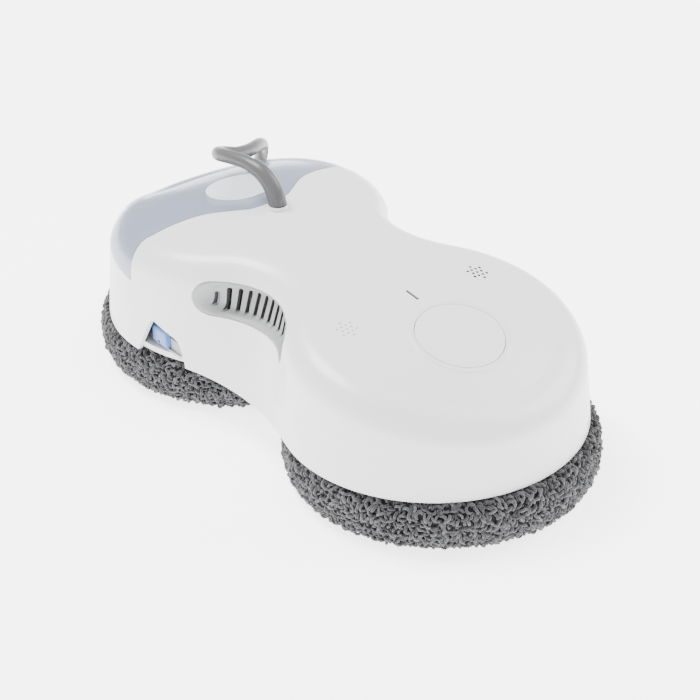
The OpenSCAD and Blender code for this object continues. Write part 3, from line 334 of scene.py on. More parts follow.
# One finish for each material slot of the record
finishes = {
    "shell": shellFinish("satinWhite", (0.8, 0.8, 0.815), 0.34, 0.15, buttonRing),
    "chassis": plastic("mattWhite", (0.78, 0.78, 0.79), 0.5),
    "grille": shellFinish("greyGrille", (0.32, 0.325, 0.33), 0.4, 0),
    "light_pipe": plastic("smokyPipe", (0.035, 0.035, 0.04), 0.25, coat=0.4),
    "tank_plastic": tankFinish("frostedTank", (0.3, 0.34, 0.45), (0.6, 0.63, 0.7), (0.9, 0.91, 0.93)),
    "cord_sheath": rubber("greySheath", (0.09, 0.09, 0.092), 0.36),
    "plug_body": plastic("blackPlug", (0.025, 0.025, 0.028), 0.42, 0.9, 0.02),
    "contact_metal": metal("nickelContact", (0.72, 0.72, 0.74), 0.2),
    "pad_cloth": yarnFinish("chenilleYarn", (0.016, 0.016, 0.018), (0.135, 0.135, 0.14)),
    "hook_tape": hookFinish("hookTape", (0.03, 0.03, 0.03)),
    "inner_plastic": plastic("innerGrey", (0.48, 0.48, 0.49), 0.52),
    "bearing_plastic": plastic("bearingCream", (0.6, 0.57, 0.48), 0.38, 1.2, 0.01),
    "gear_plastic": plastic("gearIvory", (0.74, 0.72, 0.64), 0.36, 1.2, 0.01),
    "brass_gear": metal("cutBrass", (0.7, 0.5, 0.2), 0.28),
    "motor_case": metal("platedCan", (0.5, 0.51, 0.53), 0.34),
    "dark_plastic": plastic("mattBlack", (0.03, 0.03, 0.034), 0.55, 0.7, 0.015),
    "screw_steel": metal("zincScrew", (0.56, 0.56, 0.58), 0.32),
    "board": boardFinish("greenBoard", (0.015, 0.12, 0.05), (0.05, 0.22, 0.09)),
    "cell_wrap": wrapFinish("blueWrap", (0.04, 0.11, 0.36)),
    "nozzle_blue": plastic("blueNozzle", (0.1, 0.2, 0.46), 0.3, coat=0.3),
    "clear_plastic": plastic("clearHolder", (0.6, 0.62, 0.65), 0.2, Alpha=0.6),
    "seal_rubber": rubber("blackSeal", (0.02, 0.02, 0.02), 0.6),
    "hose_tube": plastic("siliconeHose", (0.66, 0.66, 0.66), 0.34, 1.5, 0.01),
}
for part in frame["record"]["subparts"]:
    mesh = nodes[part["node"]].data
    mesh.materials.clear()
    mesh.materials.append(finishes[part["material_slot"]])
print("finishes made:", len(finishes))


# Makes an object of a bmesh
def addObject(name, bm):
    mesh = bpy.data.meshes.new(name)
    bm.to_mesh(mesh)
    bm.free()
    return newObject(name, mesh)


# Gives a piece the mesh that its modifiers make
def settle(piece):
    bpy.context.view_layer.update()
    made = piece.evaluated_get(bpy.context.evaluated_depsgraph_get())
    mesh = bpy.data.meshes.new_from_object(made)
    piece.modifiers.clear()
    old, piece.data = piece.data, mesh
    bpy.data.meshes.remove(old)
    return piece


# Gives an open sheet its wall, on the inner side
def thicken(piece, thickness):
    wall = piece.modifiers.new("wall", "SOLIDIFY")
    wall.thickness, wall.offset = thickness, -1
    return settle(piece)


# Cuts, joins or keeps what two pieces share; MANIFOLD copes with plates whose corners fold
def combine(piece, other, operation, keepOther=False, solver="EXACT"):
    cut = piece.modifiers.new(operation, "BOOLEAN")
    cut.operation, cut.solver, cut.object = operation, solver, other
    settle(piece)
    if not keepOther:
        bpy.data.objects.remove(other)
    return piece


# Brings a piece to metres, gives it its finish and puts it on its body
def done(piece, slot, body, *replaced, sharpAngle=35):
    mesh = piece.data
    mesh.transform(Matrix.Scale(mm, 4))
    mesh.materials.clear()
    mesh.materials.append(finishes[slot])
    for face in mesh.polygons:
        face.use_smooth = True
    mesh.set_sharp_from_angle(angle=math.radians(sharpAngle))
    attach(piece, body)
    if replaced:
        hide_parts(*replaced)
    return piece


def moved(bm, matrix):
    bmesh.ops.transform(bm, matrix=matrix, verts=bm.verts)
    return bm


def outwards(bm):
    bmesh.ops.recalc_face_normals(bm, faces=bm.faces)


def cornersOf(made):
    return [v for v in made if isinstance(v, bmesh.types.BMVert)]


# Closes the open ends of a loft
def closeEnds(bm):
    bmesh.ops.holes_fill(bm, edges=[e for e in bm.edges if e.is_boundary])
    outwards(bm)


# Rounds edges off
def soften(bm, edges, width, segments=2):
    shape = {"offset": width, "segments": segments, "profile": 0.5, "clamp_overlap": True}
    bmesh.ops.bevel(bm, geom=edges, affect="EDGES", material=-1, **shape)


def placed(bm, x, y=0, z=0):
    return moved(bm, Matrix.Translation((x, y, z)))


def box(size):
    bm = bmesh.new()
    bmesh.ops.create_cube(bm, size=1)
    bmesh.ops.scale(bm, vec=size, verts=bm.verts)
    return bm


# Brings a finished piece of one side to the other
def toOtherSide(piece):
    piece.data.transform(Matrix.Diagonal((1, -1, 1, 1)))
    piece.data.flip_normals()


# Cord: out of the collar, over in an arch, round behind and down into a tied coil
cord = {
    "diameter": 7,
    "route": [
        (-44.4, 0, 78), (-44.4, 0, 86), (-45.1, -0.1, 91.2), (-47.2, -0.4, 95.9), (-50.6, -0.9, 99.8),
        (-55, -1.5, 102.5), (-60.3, -2.2, 103.8), (-66.6, -2.8, 104), (-73.4, -3.4, 103.4),
        (-80, -3.6, 102.3), (-86, -2.9, 100.7), (-91.4, -0.6, 98.7), (-95.3, 3, 96.3), (-98, 8.4, 93.6),
        (-99.6, 15, 90.6), (-102.4, 21.9, 88.1), (-106.2, 29, 85.7), (-111.4, 36.4, 83.2),
        (-117.7, 43.6, 80), (-124.4, 50, 75.2), (-130.9, 54.8, 68.2), (-136.7, 57.2, 59.3),
        (-141.5, 56.8, 49.6), (-145.6, 54.4, 39.9), (-149.6, 50.8, 31.2), (-154, 47.2, 23.6),
        (-159.4, 44.6, 17.4), (-165.8, 44.2, 13.4), (-173.5, 46.3, 11.9),
    ],
    "coilPlace": (-165, 90), "coilRadius": 44, "coilStart": 250, "coilTurns": 4.25, "coilPitch": 7.6,
    "coilLift": 0.8, "pointsPerTurn": 24,
    "length": 1191,
}


def coilPoints():
    c = cord
    points = []
    for i in range(int(c["pointsPerTurn"] * c["coilTurns"]) + 1):
        t = i / c["pointsPerTurn"]
        r = c["coilRadius"] - c["coilPitch"] * min(t, c["coilTurns"] - t)
        a = math.radians(c["coilStart"] - 360 * t)
        layer = min(max(c["coilTurns"] + 0.5 - 2 * t, 0), 1)
        z = c["coilLift"] + c["diameter"] / 2 + c["coilPitch"] * layer
        points.append(Vector((*c["coilPlace"], z)) + Vector((r * math.cos(a), r * math.sin(a), 0)))
    return points, a


def makeCord():
    coil, lastAngle = coilPoints()
    ahead = Vector((math.sin(lastAngle), -math.cos(lastAngle), 0))
    end = coil[-1] + ahead * cord["diameter"]
    points = [Vector(p) for p in cord["route"]] + coil + [end]
    curve = bpy.data.curves.new("powerCord", "CURVE")
    curve.dimensions = "3D"
    curve.bevel_depth = cord["diameter"] / 2 * mm
    curve.bevel_resolution = 5
    curve.resolution_u = 6
    curve.use_fill_caps = True
    line = curve.splines.new("BEZIER")
    line.bezier_points.add(len(points) - 1)
    for knot, point in zip(line.bezier_points, points):
        knot.co = point * mm
        knot.handle_left_type = knot.handle_right_type = "AUTO"
    curve.materials.append(finishes["cord_sheath"])
    piece = newObject("powerCord", curve)
    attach(piece, "root")
    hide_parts("power_cord", "cord_coil")
    return piece, end, ahead


powerCord, cordEnd, cordAhead = makeCord()


# A smooth line through the knots, in so many steps between two of them
def smoothLine(knots, first, steps):
    line = []
    for i in range(len(knots) - 1):
        before = knots[i - 1] if i else first
        after = knots[min(i + 2, len(knots) - 1)]
        line += [catmull(before, knots[i], knots[i + 1], after, k / steps) for k in range(steps)]
    return line + [knots[-1]]


def catmull(a, b, c, d, t):
    return (b * 2 + (c - a) * t + (a * 2 - b * 5 + c * 4 - d) * t**2 + (b * 3 - a - c * 3 + d) * t**3) / 2


# The next ring of a loft: the ring's edges are extruded, and the new corners come in the same order
def nextRing(bm, ring):
    known = set(ring)
    edges = {e for v in ring for e in v.link_edges if e.other_vert(v) in known}
    fresh = set(cornersOf(bmesh.ops.extrude_edge_only(bm, edges=list(edges))["geom"]))
    return [next(e.other_vert(v) for e in v.link_edges if e.other_vert(v) in fresh) for v in ring]


# Strain relief: a sleeve that tapers up the first bend, fluted at its foot
relief = {
    "foot": 4.6, "tip": 3.95, "flutes": 14, "fluteDepth": 0.28, "fluteRun": 0.3,
    "lift": 88.3, "knots": (1, 7), "steps": 12, "rings": 28, "sides": 56,
}


def makeRelief():
    c = relief
    knots = [Vector(p) for p in cord["route"][slice(*c["knots"])]]
    fine = [p for p in smoothLine(knots, knots[0], c["steps"]) if p.z >= c["lift"]]
    path = [fine[round(i * (len(fine) - 1) / (c["rings"] - 1))] for i in range(c["rings"])]
    bm = bmesh.new()
    ring = bmesh.ops.create_circle(bm, segments=c["sides"], radius=1)["verts"]
    aside = Vector((0, 1, 0))
    for i, point in enumerate(path):
        if i:
            ring = nextRing(bm, ring)
        way = (path[min(i + 1, len(path) - 1)] - path[max(i - 1, 0)]).normalized()
        aside = (aside - way * aside.dot(way)).normalized()
        across = way.cross(aside)
        share = i / (len(path) - 1)
        plain = c["foot"] + (c["tip"] - c["foot"]) * share
        fade = max(0, 1 - share / c["fluteRun"])
        for k, v in enumerate(ring):
            a = 2 * math.pi * k / c["sides"]
            r = plain + c["fluteDepth"] * fade * (math.cos(a * c["flutes"]) - 1) / 2
            v.co = point + (aside * math.cos(a) + across * math.sin(a)) * r
    closeEnds(bm)
    return done(addObject("strainRelief", bm), "cord_sheath", "root", "strain_relief")


# A solid of revolution about +Z from its half outline of (radius, height) corners
def turned(profile, steps):
    bm = bmesh.new()
    corners = [bm.verts.new((r, 0, z)) for r, z in profile]
    line = corners + [bm.edges.new(pair) for pair in zip(corners, corners[1:] + corners[:1])]
    full = 2 * math.pi
    bmesh.ops.spin(bm, geom=line, axis=(0, 0, 1), cent=(0, 0, 0), steps=steps, angle=full, use_merge=True)
    bmesh.ops.remove_doubles(bm, verts=bm.verts, dist=0.0005)
    outwards(bm)
    return bm


# Plug: a moulded grip with ribs, and a nickel barrel with an open end
plug = {
    "grip": [
        (0, 0), (3.6, 0), (3.7, 2.4), (3.2, 2.6), (3.2, 3.4), (3.8, 3.6), (3.9, 5), (3.4, 5.2), (3.4, 6),
        (4, 6.3), (4.3, 8), (4.3, 24.8), (3.9, 25.8), (2.75, 26), (2.75, 23), (0, 23),
    ],
    "barrel": [
        (0, 23.1), (2.7, 23.1), (2.7, 34.6), (2.5, 34.9), (2.1, 35), (1.6, 34.9), (1.1, 34.4), (1.05, 26.4),
        (0, 26.4),
    ],
    "sides": 40,
}


def makePlug():
    way = cordAhead.to_track_quat("Z", "Y").to_matrix().to_4x4()
    place = Matrix.Translation(cordEnd) @ way
    found = []
    for name, key, slot, node in (
        ("plugGrip", "grip", "plug_body", "dc_plug"),
        ("plugBarrel", "barrel", "contact_metal", "plug_barrel"),
    ):
        piece = addObject(name, moved(turned(plug[key], plug["sides"]), place))
        found.append(done(piece, slot, "root", node, sharpAngle=50))
    return found


strainRelief = makeRelief()
plugPieces = makePlug()

# Tie: a soft band round the turns of the coil
tie = {"inner": 26.4, "outer": 44.2, "top": 15.9, "width": 10, "thick": 0.6, "corner": 2.2, "steps": 5}


def makeTie():
    c = tie
    height = c["top"] + c["thick"]
    bm = box((c["outer"] - c["inner"] + 2 * c["thick"], c["width"], height))
    middle = ((c["inner"] + c["outer"]) / 2 + cord["coilPlace"][0], cord["coilPlace"][1], height / 2)
    bmesh.ops.delete(bm, geom=[f for f in bm.faces if abs(f.normal.y) > 0.5], context="FACES_ONLY")
    soften(bm, [e for e in bm.edges if not e.is_boundary], c["corner"], c["steps"])
    placed(bm, *middle)
    return done(thicken(addObject("cordTie", bm), c["thick"]), "plug_body", "root", "cord_tie")


cordTie = makeTie()
print("cord laid")


# The body form, as the frame has it: two lobes and a waist, with a domed top that falls to the nose
form = {
    "lobeX": 70, "lobeR": 72.5, "lobeDraft": 2, "waist": 60, "waistDraft": 16.5,
    "rimZ": 25, "crownZ": 87, "edgeR": 15, "wall": 2.4,
    "crownX": -50, "topSlope": 0.04,
    "noseDrop": 21.8, "noseRun": 180, "nosePower": 4.7,
    "tailDrop": 19, "tailRun": 75, "tailPower": 2.6,
    "sideDrop": 7, "tailSideDrop": 5, "tailSideX": -10, "tailSideRun": 60,
    "rake": 4, "rakeX": 130, "rakeZ": 50,
    "lobeSteps": 20, "waistSteps": 14, "wallRings": 5, "edgeRings": 7, "capCuts": 13,
}
cutPast = 10  # how far cutters stand out past the lobes
overrun = 1  # how far the shorter cutters go beyond what they cut


def clip(v):
    return min(max(v, 0), 1)


# Height of the domed top over the plan
def topHeight(x, y):
    f = form
    nose = f["noseDrop"] * max(0, (x - f["crownX"]) / f["noseRun"]) ** f["nosePower"]
    tail = f["tailDrop"] * max(0, (f["crownX"] - x) / f["tailRun"]) ** f["tailPower"]
    side = f["sideDrop"] + f["tailSideDrop"] * clip((f["tailSideX"] - x) / f["tailSideRun"])
    fall = side * (y / (f["lobeR"] - f["lobeDraft"])) ** 2
    return f["crownZ"] - f["topSlope"] * (x - f["crownX"]) - nose - tail - fall


# The tail leans back a little, more so higher up
def raked(x, y, z):
    f = form
    return Vector((x + f["rake"] * clip(-x / f["rakeX"]) ** 2 * (z - f["rimZ"]) / f["rakeZ"], y, z))


# Plan outline from the nose round the +Y side to the tail and back
def outline(r, w):
    f = form
    waistR = (f["lobeX"] ** 2 + w**2 - r**2) / (2 * (r - w))
    waistY = w + waistR
    sweep = math.atan2(f["lobeX"], waistY)
    phi = math.pi / 2 + sweep
    half = []
    for i in range(f["lobeSteps"]):
        a = phi * i / f["lobeSteps"]
        half.append((f["lobeX"] + r * math.cos(a), r * math.sin(a)))
    for i in range(f["waistSteps"]):
        a = sweep - 2 * sweep * i / f["waistSteps"] - math.pi / 2
        half.append((waistR * math.cos(a), waistY + waistR * math.sin(a)))
    for i in range(f["lobeSteps"] + 1):
        a = math.pi - phi + phi * i / f["lobeSteps"]
        half.append((-f["lobeX"] + r * math.cos(a), r * math.sin(a)))
    return half + [(x, -y) for x, y in half[-2:0:-1]]


# The body form set in by so much, from lowZ up: a loft of wall and rounded edge, closed by a domed cap
def bodyForm(name, inset, lowZ):
    f = form
    r = f["lobeR"] - f["lobeDraft"] - inset
    w = f["waist"] - f["waistDraft"] - inset
    e = f["edgeR"] - inset / 2
    rim = [topHeight(x, y) - inset for x, y in outline(r - e, w - e)]
    low = (lowZ - f["rimZ"]) / (f["crownZ"] - f["edgeR"] - f["rimZ"])
    bm = bmesh.new()
    crease = bm.edges.layers.float.new("crease_edge")
    ring = bmesh.ops.create_circle(bm, cap_ends=True, segments=len(rim), radius=1)["verts"]
    for edge in bm.edges:
        edge[crease] = 1
    for k in range(f["wallRings"]):
        s = k / f["wallRings"]
        share = low * (1 - s) + s
        if k:
            ring = nextRing(bm, ring)
        lobe = f["lobeR"] - f["lobeDraft"] * share - inset
        waist = f["waist"] - f["waistDraft"] * share - inset
        for v, (x, y), top in zip(ring, outline(lobe, waist), rim):
            v.co = raked(x, y, lowZ + (top - e - lowZ) * s)
    for k in range(f["edgeRings"] + 1):
        a = math.pi / 2 * k / f["edgeRings"]
        u = e * (1 - math.cos(a))
        ring = nextRing(bm, ring)
        for v, (x, y), top in zip(ring, outline(r - u, w - u), rim):
            v.co = raked(x, y, top - e * (1 - math.sin(a)))
    bm.faces.new(ring)
    rungs = []
    for i in range(1, len(ring) // 2):
        rungs += bmesh.ops.connect_vert_pair(bm, verts=[ring[i], ring[-i]])["edges"]
    made = bmesh.ops.subdivide_edges(bm, edges=rungs, cuts=f["capCuts"], use_grid_fill=True)["geom_inner"]
    for v in cornersOf(made):
        v.co = raked(v.co.x, v.co.y, topHeight(v.co.x, v.co.y) - inset)
    outwards(bm)
    piece = addObject(name, bm)
    smooth = piece.modifiers.new("smooth", "SUBSURF")
    smooth.levels = smooth.render_levels = 1
    return settle(piece)


bodyOuter = bodyForm("bodyOuter", 0, form["rimZ"])
print("body form made:", len(bodyOuter.data.polygons), "faces")


# Flat outline in the given plane, pushed out to a solid
def prism(corners, plane, start, end):
    place = {
        "xy": lambda u, v, d: (u, v, d),
        "xz": lambda u, v, d: (u, d, v),
        "yz": lambda u, v, d: (d, u, v),
    }[plane]
    bm = bmesh.new()
    face = bm.faces.new([bm.verts.new(place(u, v, start)) for u, v in corners])
    made = bmesh.ops.extrude_face_region(bm, geom=[face])["geom"]
    bmesh.ops.translate(bm, vec=Vector(place(0, 0, end - start)), verts=cornersOf(made))
    outwards(bm)
    return bm


def mirrored(bm):
    copy = bm.copy()
    bmesh.ops.scale(copy, vec=(1, -1, 1), verts=copy.verts)
    bmesh.ops.reverse_faces(copy, faces=copy.faces)
    return copy


# One object of several closed parts
def joined(name, parts):
    whole = bmesh.new()
    for bm in parts:
        mesh = bpy.data.meshes.new("part")
        bm.to_mesh(mesh)
        bm.free()
        whole.from_mesh(mesh)
        bpy.data.meshes.remove(mesh)
    return addObject(name, whole)


# Corners of the round cutters and posts
sides = {"button": 128, "window": 72, "collar": 48, "post": 32, "thinPost": 24, "screw": 20, "sound": 14}


# An upright cylinder
def tube(r, low, high, steps, x=0, y=0):
    bm = bmesh.new()
    bmesh.ops.create_cone(bm, cap_ends=True, segments=steps, radius1=r, radius2=r, depth=high - low)
    return placed(bm, x, y, (low + high) / 2)


# Tank zone: a curved front edge over a floor that rises to the rear. The shares give the edge: how far it has
# gone back from midX to edgeX, and how far out it stands there
tankZone = {
    "edgeX": -70, "midX": -50.5, "floorZ": 61, "floorRise": 7, "floorRun": 70, "reach": 90, "gap": 0.4,
    "shares": [
        (0.00, 0.00), (0.04, 0.14), (0.26, 0.24), (0.50, 0.33), (0.76, 0.44),
        (0.96, 0.58), (1.10, 0.74), (1.10, 0.86), (1.00, 1.00),
    ],
    "wall": 2, "steps": 5,
    "hump": {"x": -114, "y": -36, "spread": 17, "rise": 3.2, "from": 14},
}


def tankPrism(grow):
    c = tankZone
    back = c["midX"] - c["edgeX"]
    knots = [Vector((c["midX"] - back * s + grow, form["lobeR"] * t, 0)) for s, t in c["shares"]]
    half = smoothLine(knots, Vector((knots[1].x, -knots[1].y, 0)), c["steps"])
    far = -form["lobeX"] - c["reach"]
    corners = [(far, -c["reach"]), (c["edgeX"] + grow, -c["reach"])]
    corners += [(p.x, -p.y) for p in half[:0:-1]] + [(p.x, p.y) for p in half]
    corners += [(c["edgeX"] + grow, c["reach"]), (far, c["reach"])]
    bm = prism(corners, "xy", 0, form["crownZ"] + form["edgeR"])
    for v in bm.verts:
        if v.co.z == 0:
            v.co.z = c["floorZ"] - grow + (c["edgeX"] - v.co.x) * c["floorRise"] / c["floorRun"]
    return bm


def windowCutter(grow):
    w = tankWindow
    bm = tube(1, w["low"], w["high"], sides["window"])
    bmesh.ops.scale(bm, vec=(w["rx"] + grow, w["ry"] + grow, 1), verts=bm.verts)
    return placed(bm, w["x"])


# Vent in the waist: a long round-ended opening, seen from the side, and the grille that is set into it.
# Each ring of the grille stands further in from the edge; past rampFrom its wall runs down to the plate
vent = {
    "ends": [(-25, 64.5), (29, 66.5)], "radius": 9, "gap": 0.3, "lip": 0.45,
    "depth": 4.4, "rampFrom": 0.6, "ramp": 2.0, "scoopRamp": 7.5, "scoopX": -20, "scoopRun": 10, "wall": 1.6,
    "rings": [0, 0.35, 0.6, 1, 1.4, 1.8, 2.2, 2.6, 3.4, 4.3, 5.3, 6.4, 7.5, 8.4],
    "endSteps": 18, "sideSteps": 14,
    "slots": 13, "slotW": 2.1, "slotX": (-26.5, 30), "slotH": 11.6, "slotDrop": 1.3, "firstShare": 0.6,
    # shade is how strongly the painted shade darkens the grille's inner side and slot walls
    "slotSoft": 0.9, "slotSteps": 3, "shade": 0.9,
}


def ventOutline(inset, endSteps=16, sideSteps=1):
    (x0, z0), (x1, z1) = vent["ends"]
    r = vent["radius"] - inset
    tilt = math.atan2(z1 - z0, x1 - x0)
    corners = []
    for (x, z), start in (((x1, z1), -math.pi / 2), ((x0, z0), math.pi / 2)):
        for i in range(endSteps + 1):
            a = tilt + start + math.pi * i / endSteps
            corners.append((x + r * math.cos(a), z + r * math.sin(a)))
        (xa, za), dx, dz = corners[-1], x0 + x1 - 2 * x, z0 + z1 - 2 * z
        corners += [(xa + dx * k / sideSteps, za + dz * k / sideSteps) for k in range(1, sideSteps)]
    return corners


# Notch in the rim, through which a nozzle is seen
notch = {"corners": [(-67, 24), (-36, 24), (-41, 38.5), (-56, 46)], "soft": 2.6, "inner": -50}


def softCorners(corners, r, steps=5):
    found = []
    for i, corner in enumerate(corners):
        here = Vector(corner)
        before = (Vector(corners[i - 1]) - here).normalized()
        after = (Vector(corners[(i + 1) % len(corners)]) - here).normalized()
        a, b = here + before * r, here + after * r
        for k in range(steps + 1):
            t = k / steps
            found.append(tuple(a * (1 - t) ** 2 + here * 2 * t * (1 - t) + b * t**2))
    return found


# A place whose +Z is turned by so many degrees towards +X
def tilted(x, y, z, degrees):
    return Matrix.Translation((x, y, z)) @ Matrix.Rotation(math.radians(degrees), 4, "Y")


buttonPlace = tilted(button["x"], 0, button["z"], button["tilt"])
collar = {
    "x": -44.4, "hole": 4.65, "holeLow": 70, "holeHigh": 100, "sides": 64,
    "outline": [
        (3.72, 79), (4.6, 79), (4.6, 86), (5.3, 86.2), (5.4, 87.2), (5.2, 88.1), (4.7, 88.4), (4.2, 88.3),
        (3.85, 87.9), (3.72, 87),
    ],
}
lightBar = {"x": 55.5, "length": 8.5, "width": 1.4, "drop": 8, "sunk": 0.5, "play": 0.1, "soft": 0.15}
sound = {"x": 56.4, "y": 39, "pitch": 2.5, "hole": 0.74, "rows": [1, 4, 3, 4, 1], "shallow": 0.5, "above": 5}


def lightPlace():
    x, n = lightBar["x"], lightBar["length"] / 2
    slope = (topHeight(x - n, 0) - topHeight(x + n, 0)) / lightBar["length"]
    return tilted(x, 0, topHeight(x, 0), math.degrees(math.atan(slope)))


# Sound holes: blind on one side of the nose, right through on the other
def soundHoles():
    found = []
    s = sound
    middle = (len(s["rows"]) - 1) / 2
    for side in (-1, 1):
        for k, count in enumerate(s["rows"]):
            for i in range(count):
                x = s["x"] + (k - middle) * s["pitch"]
                y = side * s["y"] + (i - (count - 1) / 2) * s["pitch"]
                top = topHeight(x, y)
                depth = s["shallow"] if side < 0 else 2 * form["wall"]
                found.append(tube(s["hole"], top - depth, top + s["above"], sides["sound"], x, y))
    return found


# Marks the faces that get painted shade, which the shader shows dark
def shaded(piece, test):
    mark = piece.data.attributes.new("shade", "FLOAT", "FACE")
    for face in piece.data.polygons:
        mark.data[face.index].value = test(face.center, face.normal)


# Inside the shell: socket of the tank's spout, screw bosses, posts for button board and cord clamp, and the
# rings that hold speaker and buzzer
spout = {
    "x": -64.75, "y": 31, "z": 75, "lean": 95.7, "radius": 2.4, "bore": 1.3, "root": 8, "length": 5.6,
    "socket": 5.8, "socketRoot": 4, "socketLength": 5.2, "hole": 4.25,
}
boss = {
    "reach": 66.5, "angle": 40, "waistY": 48, "low": 29, "height": 17, "radius": 4,
    "screw": 1.45, "depth": 12,
}
post = {
    "radius": 2.4, "boardY": 26, "boardDrop": 9.6, "clampY": 7.6, "clampLow": 78,
    "ring": 7.6, "ringWall": 1.2, "ringDrop": 2.5,
}
spoutPlace = tilted(spout["x"], spout["y"], spout["z"], spout["lean"])


def bossPlaces():
    along = form["lobeX"] + boss["reach"] * math.cos(math.radians(boss["angle"]))
    aside = boss["reach"] * math.sin(math.radians(boss["angle"]))
    found = [(x, y) for x in (-along, along) for y in (-aside, aside)]
    return found + [(0, -boss["waistY"]), (0, boss["waistY"])]


def shellPosts():
    high = form["crownZ"] + form["edgeR"]
    low = topHeight(sound["x"], sound["y"]) - form["wall"] - post["ringDrop"]
    inside = post["ring"] - post["ringWall"]
    socket = tube(spout["socket"], -spout["socketRoot"], spout["socketLength"], sides["post"])
    parts, holes = [moved(socket, spoutPlace)], []
    for x, y in bossPlaces():
        parts.append(tube(boss["radius"], boss["low"], boss["low"] + boss["height"], sides["post"], x, y))
    for side in (-1, 1):
        boardPost = tube(post["radius"], -post["boardDrop"], 0, sides["thinPost"], 0, side * post["boardY"])
        clamp = (collar["x"], side * post["clampY"])
        ring = (sound["x"], side * sound["y"])
        parts.append(moved(boardPost, buttonPlace))
        parts.append(tube(post["radius"], post["clampLow"], high, sides["thinPost"], *clamp))
        parts.append(tube(post["ring"], low, high, sides["post"], *ring))
        holes.append(tube(inside, low - overrun, high + overrun, sides["post"], *ring))
    posts = joined("posts", parts)
    combine(posts, joined("ringHoles", holes), "DIFFERENCE")
    combine(posts, bodyForm("postLimit", form["wall"] / 2, form["rimZ"]), "INTERSECT")
    return posts


# Top shell: the body form hollowed out, with a wall behind the tank's seat, its posts, and its openings cut.
# The spout's hole is cut on its own, because cutters of one object mustn't overlap
def makeShell():
    shell = newObject("topShell", bodyOuter.data.copy())
    inner = bodyForm("bodyInner", form["wall"], form["rimZ"] - overrun)
    combine(inner, addObject("tankWall", tankPrism(form["wall"])), "DIFFERENCE")
    combine(shell, inner, "DIFFERENCE")
    combine(shell, shellPosts(), "UNION")
    outer = form["lobeR"] + cutPast
    slot = prism(ventOutline(0), "xz", -form["waistDraft"], -outer)
    corner = prism(softCorners(notch["corners"], notch["soft"]), "xz", notch["inner"], -outer)
    buttonHole = tube(button["radius"] + button["gap"], -button["skirt"], form["edgeR"], sides["button"])
    cordHole = tube(collar["hole"], collar["holeLow"], collar["holeHigh"], sides["collar"], collar["x"])
    lightSlot = box((lightBar["length"], lightBar["width"], 2 * lightBar["drop"]))
    parts = [mirrored(slot), slot, mirrored(corner), corner, tankPrism(0)]
    parts += [moved(buttonHole, buttonPlace), cordHole, moved(lightSlot, lightPlace())]
    low, high = boss["low"] - overrun, boss["low"] + boss["depth"]
    parts += [tube(boss["screw"], low, high, sides["screw"], x, y) for x, y in bossPlaces()]
    combine(shell, joined("cutters", parts + soundHoles()), "DIFFERENCE")
    hole = tube(spout["hole"], -spout["root"], spout["socketLength"] + overrun, sides["post"])
    combine(shell, addObject("hole", moved(hole, spoutPlace)), "DIFFERENCE")
    # Painted shade: the steep faces round the sound holes on the +Y side are marked to show dark
    reach = sound["pitch"] * len(sound["rows"]) / 2
    shaded(shell, lambda c, n: abs(c.x - sound["x"]) < reach and abs(c.y - sound["y"]) < reach and n.z < 0.7)
    return done(shell, "shell", "root", "top_shell", sharpAngle=32)


topShell = makeShell()
print("shell cut:", len(topShell.data.polygons), "faces")


# Water tank: the body form over its zone, hollow, with a finger window right through, a spout and a low hump
def makeTank():
    gap, wall, hump = tankZone["gap"], tankZone["wall"], tankZone["hump"]
    tank = addObject("waterTank", tankPrism(-gap))
    combine(tank, bodyOuter, "INTERSECT", keepOther=True)
    cavity = addObject("tankCavity", tankPrism(-gap - wall))
    combine(cavity, bodyForm("tankInner", wall, form["rimZ"]), "INTERSECT")
    combine(cavity, addObject("windowWall", windowCutter(wall)), "DIFFERENCE")
    combine(tank, cavity, "DIFFERENCE")
    combine(tank, addObject("window", windowCutter(0)), "DIFFERENCE")
    pipe = tube(spout["radius"], -spout["root"], spout["length"], sides["post"])
    combine(tank, addObject("spout", moved(pipe, spoutPlace)), "UNION")
    bore = tube(spout["bore"], -spout["root"] - overrun, spout["length"] + overrun, sides["thinPost"])
    combine(tank, addObject("bore", moved(bore, spoutPlace)), "DIFFERENCE")
    for v in tank.data.vertices:
        away = Vector((v.co.x - hump["x"], v.co.y - hump["y"])).length / hump["spread"]
        v.co.z += hump["rise"] * math.exp(-away * away) * clip((v.co.z - tankZone["floorZ"]) / hump["from"])
    return done(tank, "tank_plastic", "tank", "water_tank")


waterTank = makeTank()
print("tank made:", len(waterTank.data.polygons), "faces")


# Button cap: its top is the body form itself, with a soft rim
def makeButton():
    c = button
    disc = tube(c["radius"], -c["thick"], form["edgeR"], sides["button"])
    cap = addObject("powerButton", moved(disc, buttonPlace))
    combine(cap, bodyOuter, "INTERSECT", keepOther=True)
    edge = cap.modifiers.new("softEdge", "BEVEL")
    edge.width, edge.segments = c["soft"], 3
    edge.limit_method, edge.angle_limit = "ANGLE", math.radians(50)
    edge.miter_outer = "MITER_ARC"
    return done(settle(cap), "shell", "button", "power_button", sharpAngle=40)


makeButton()


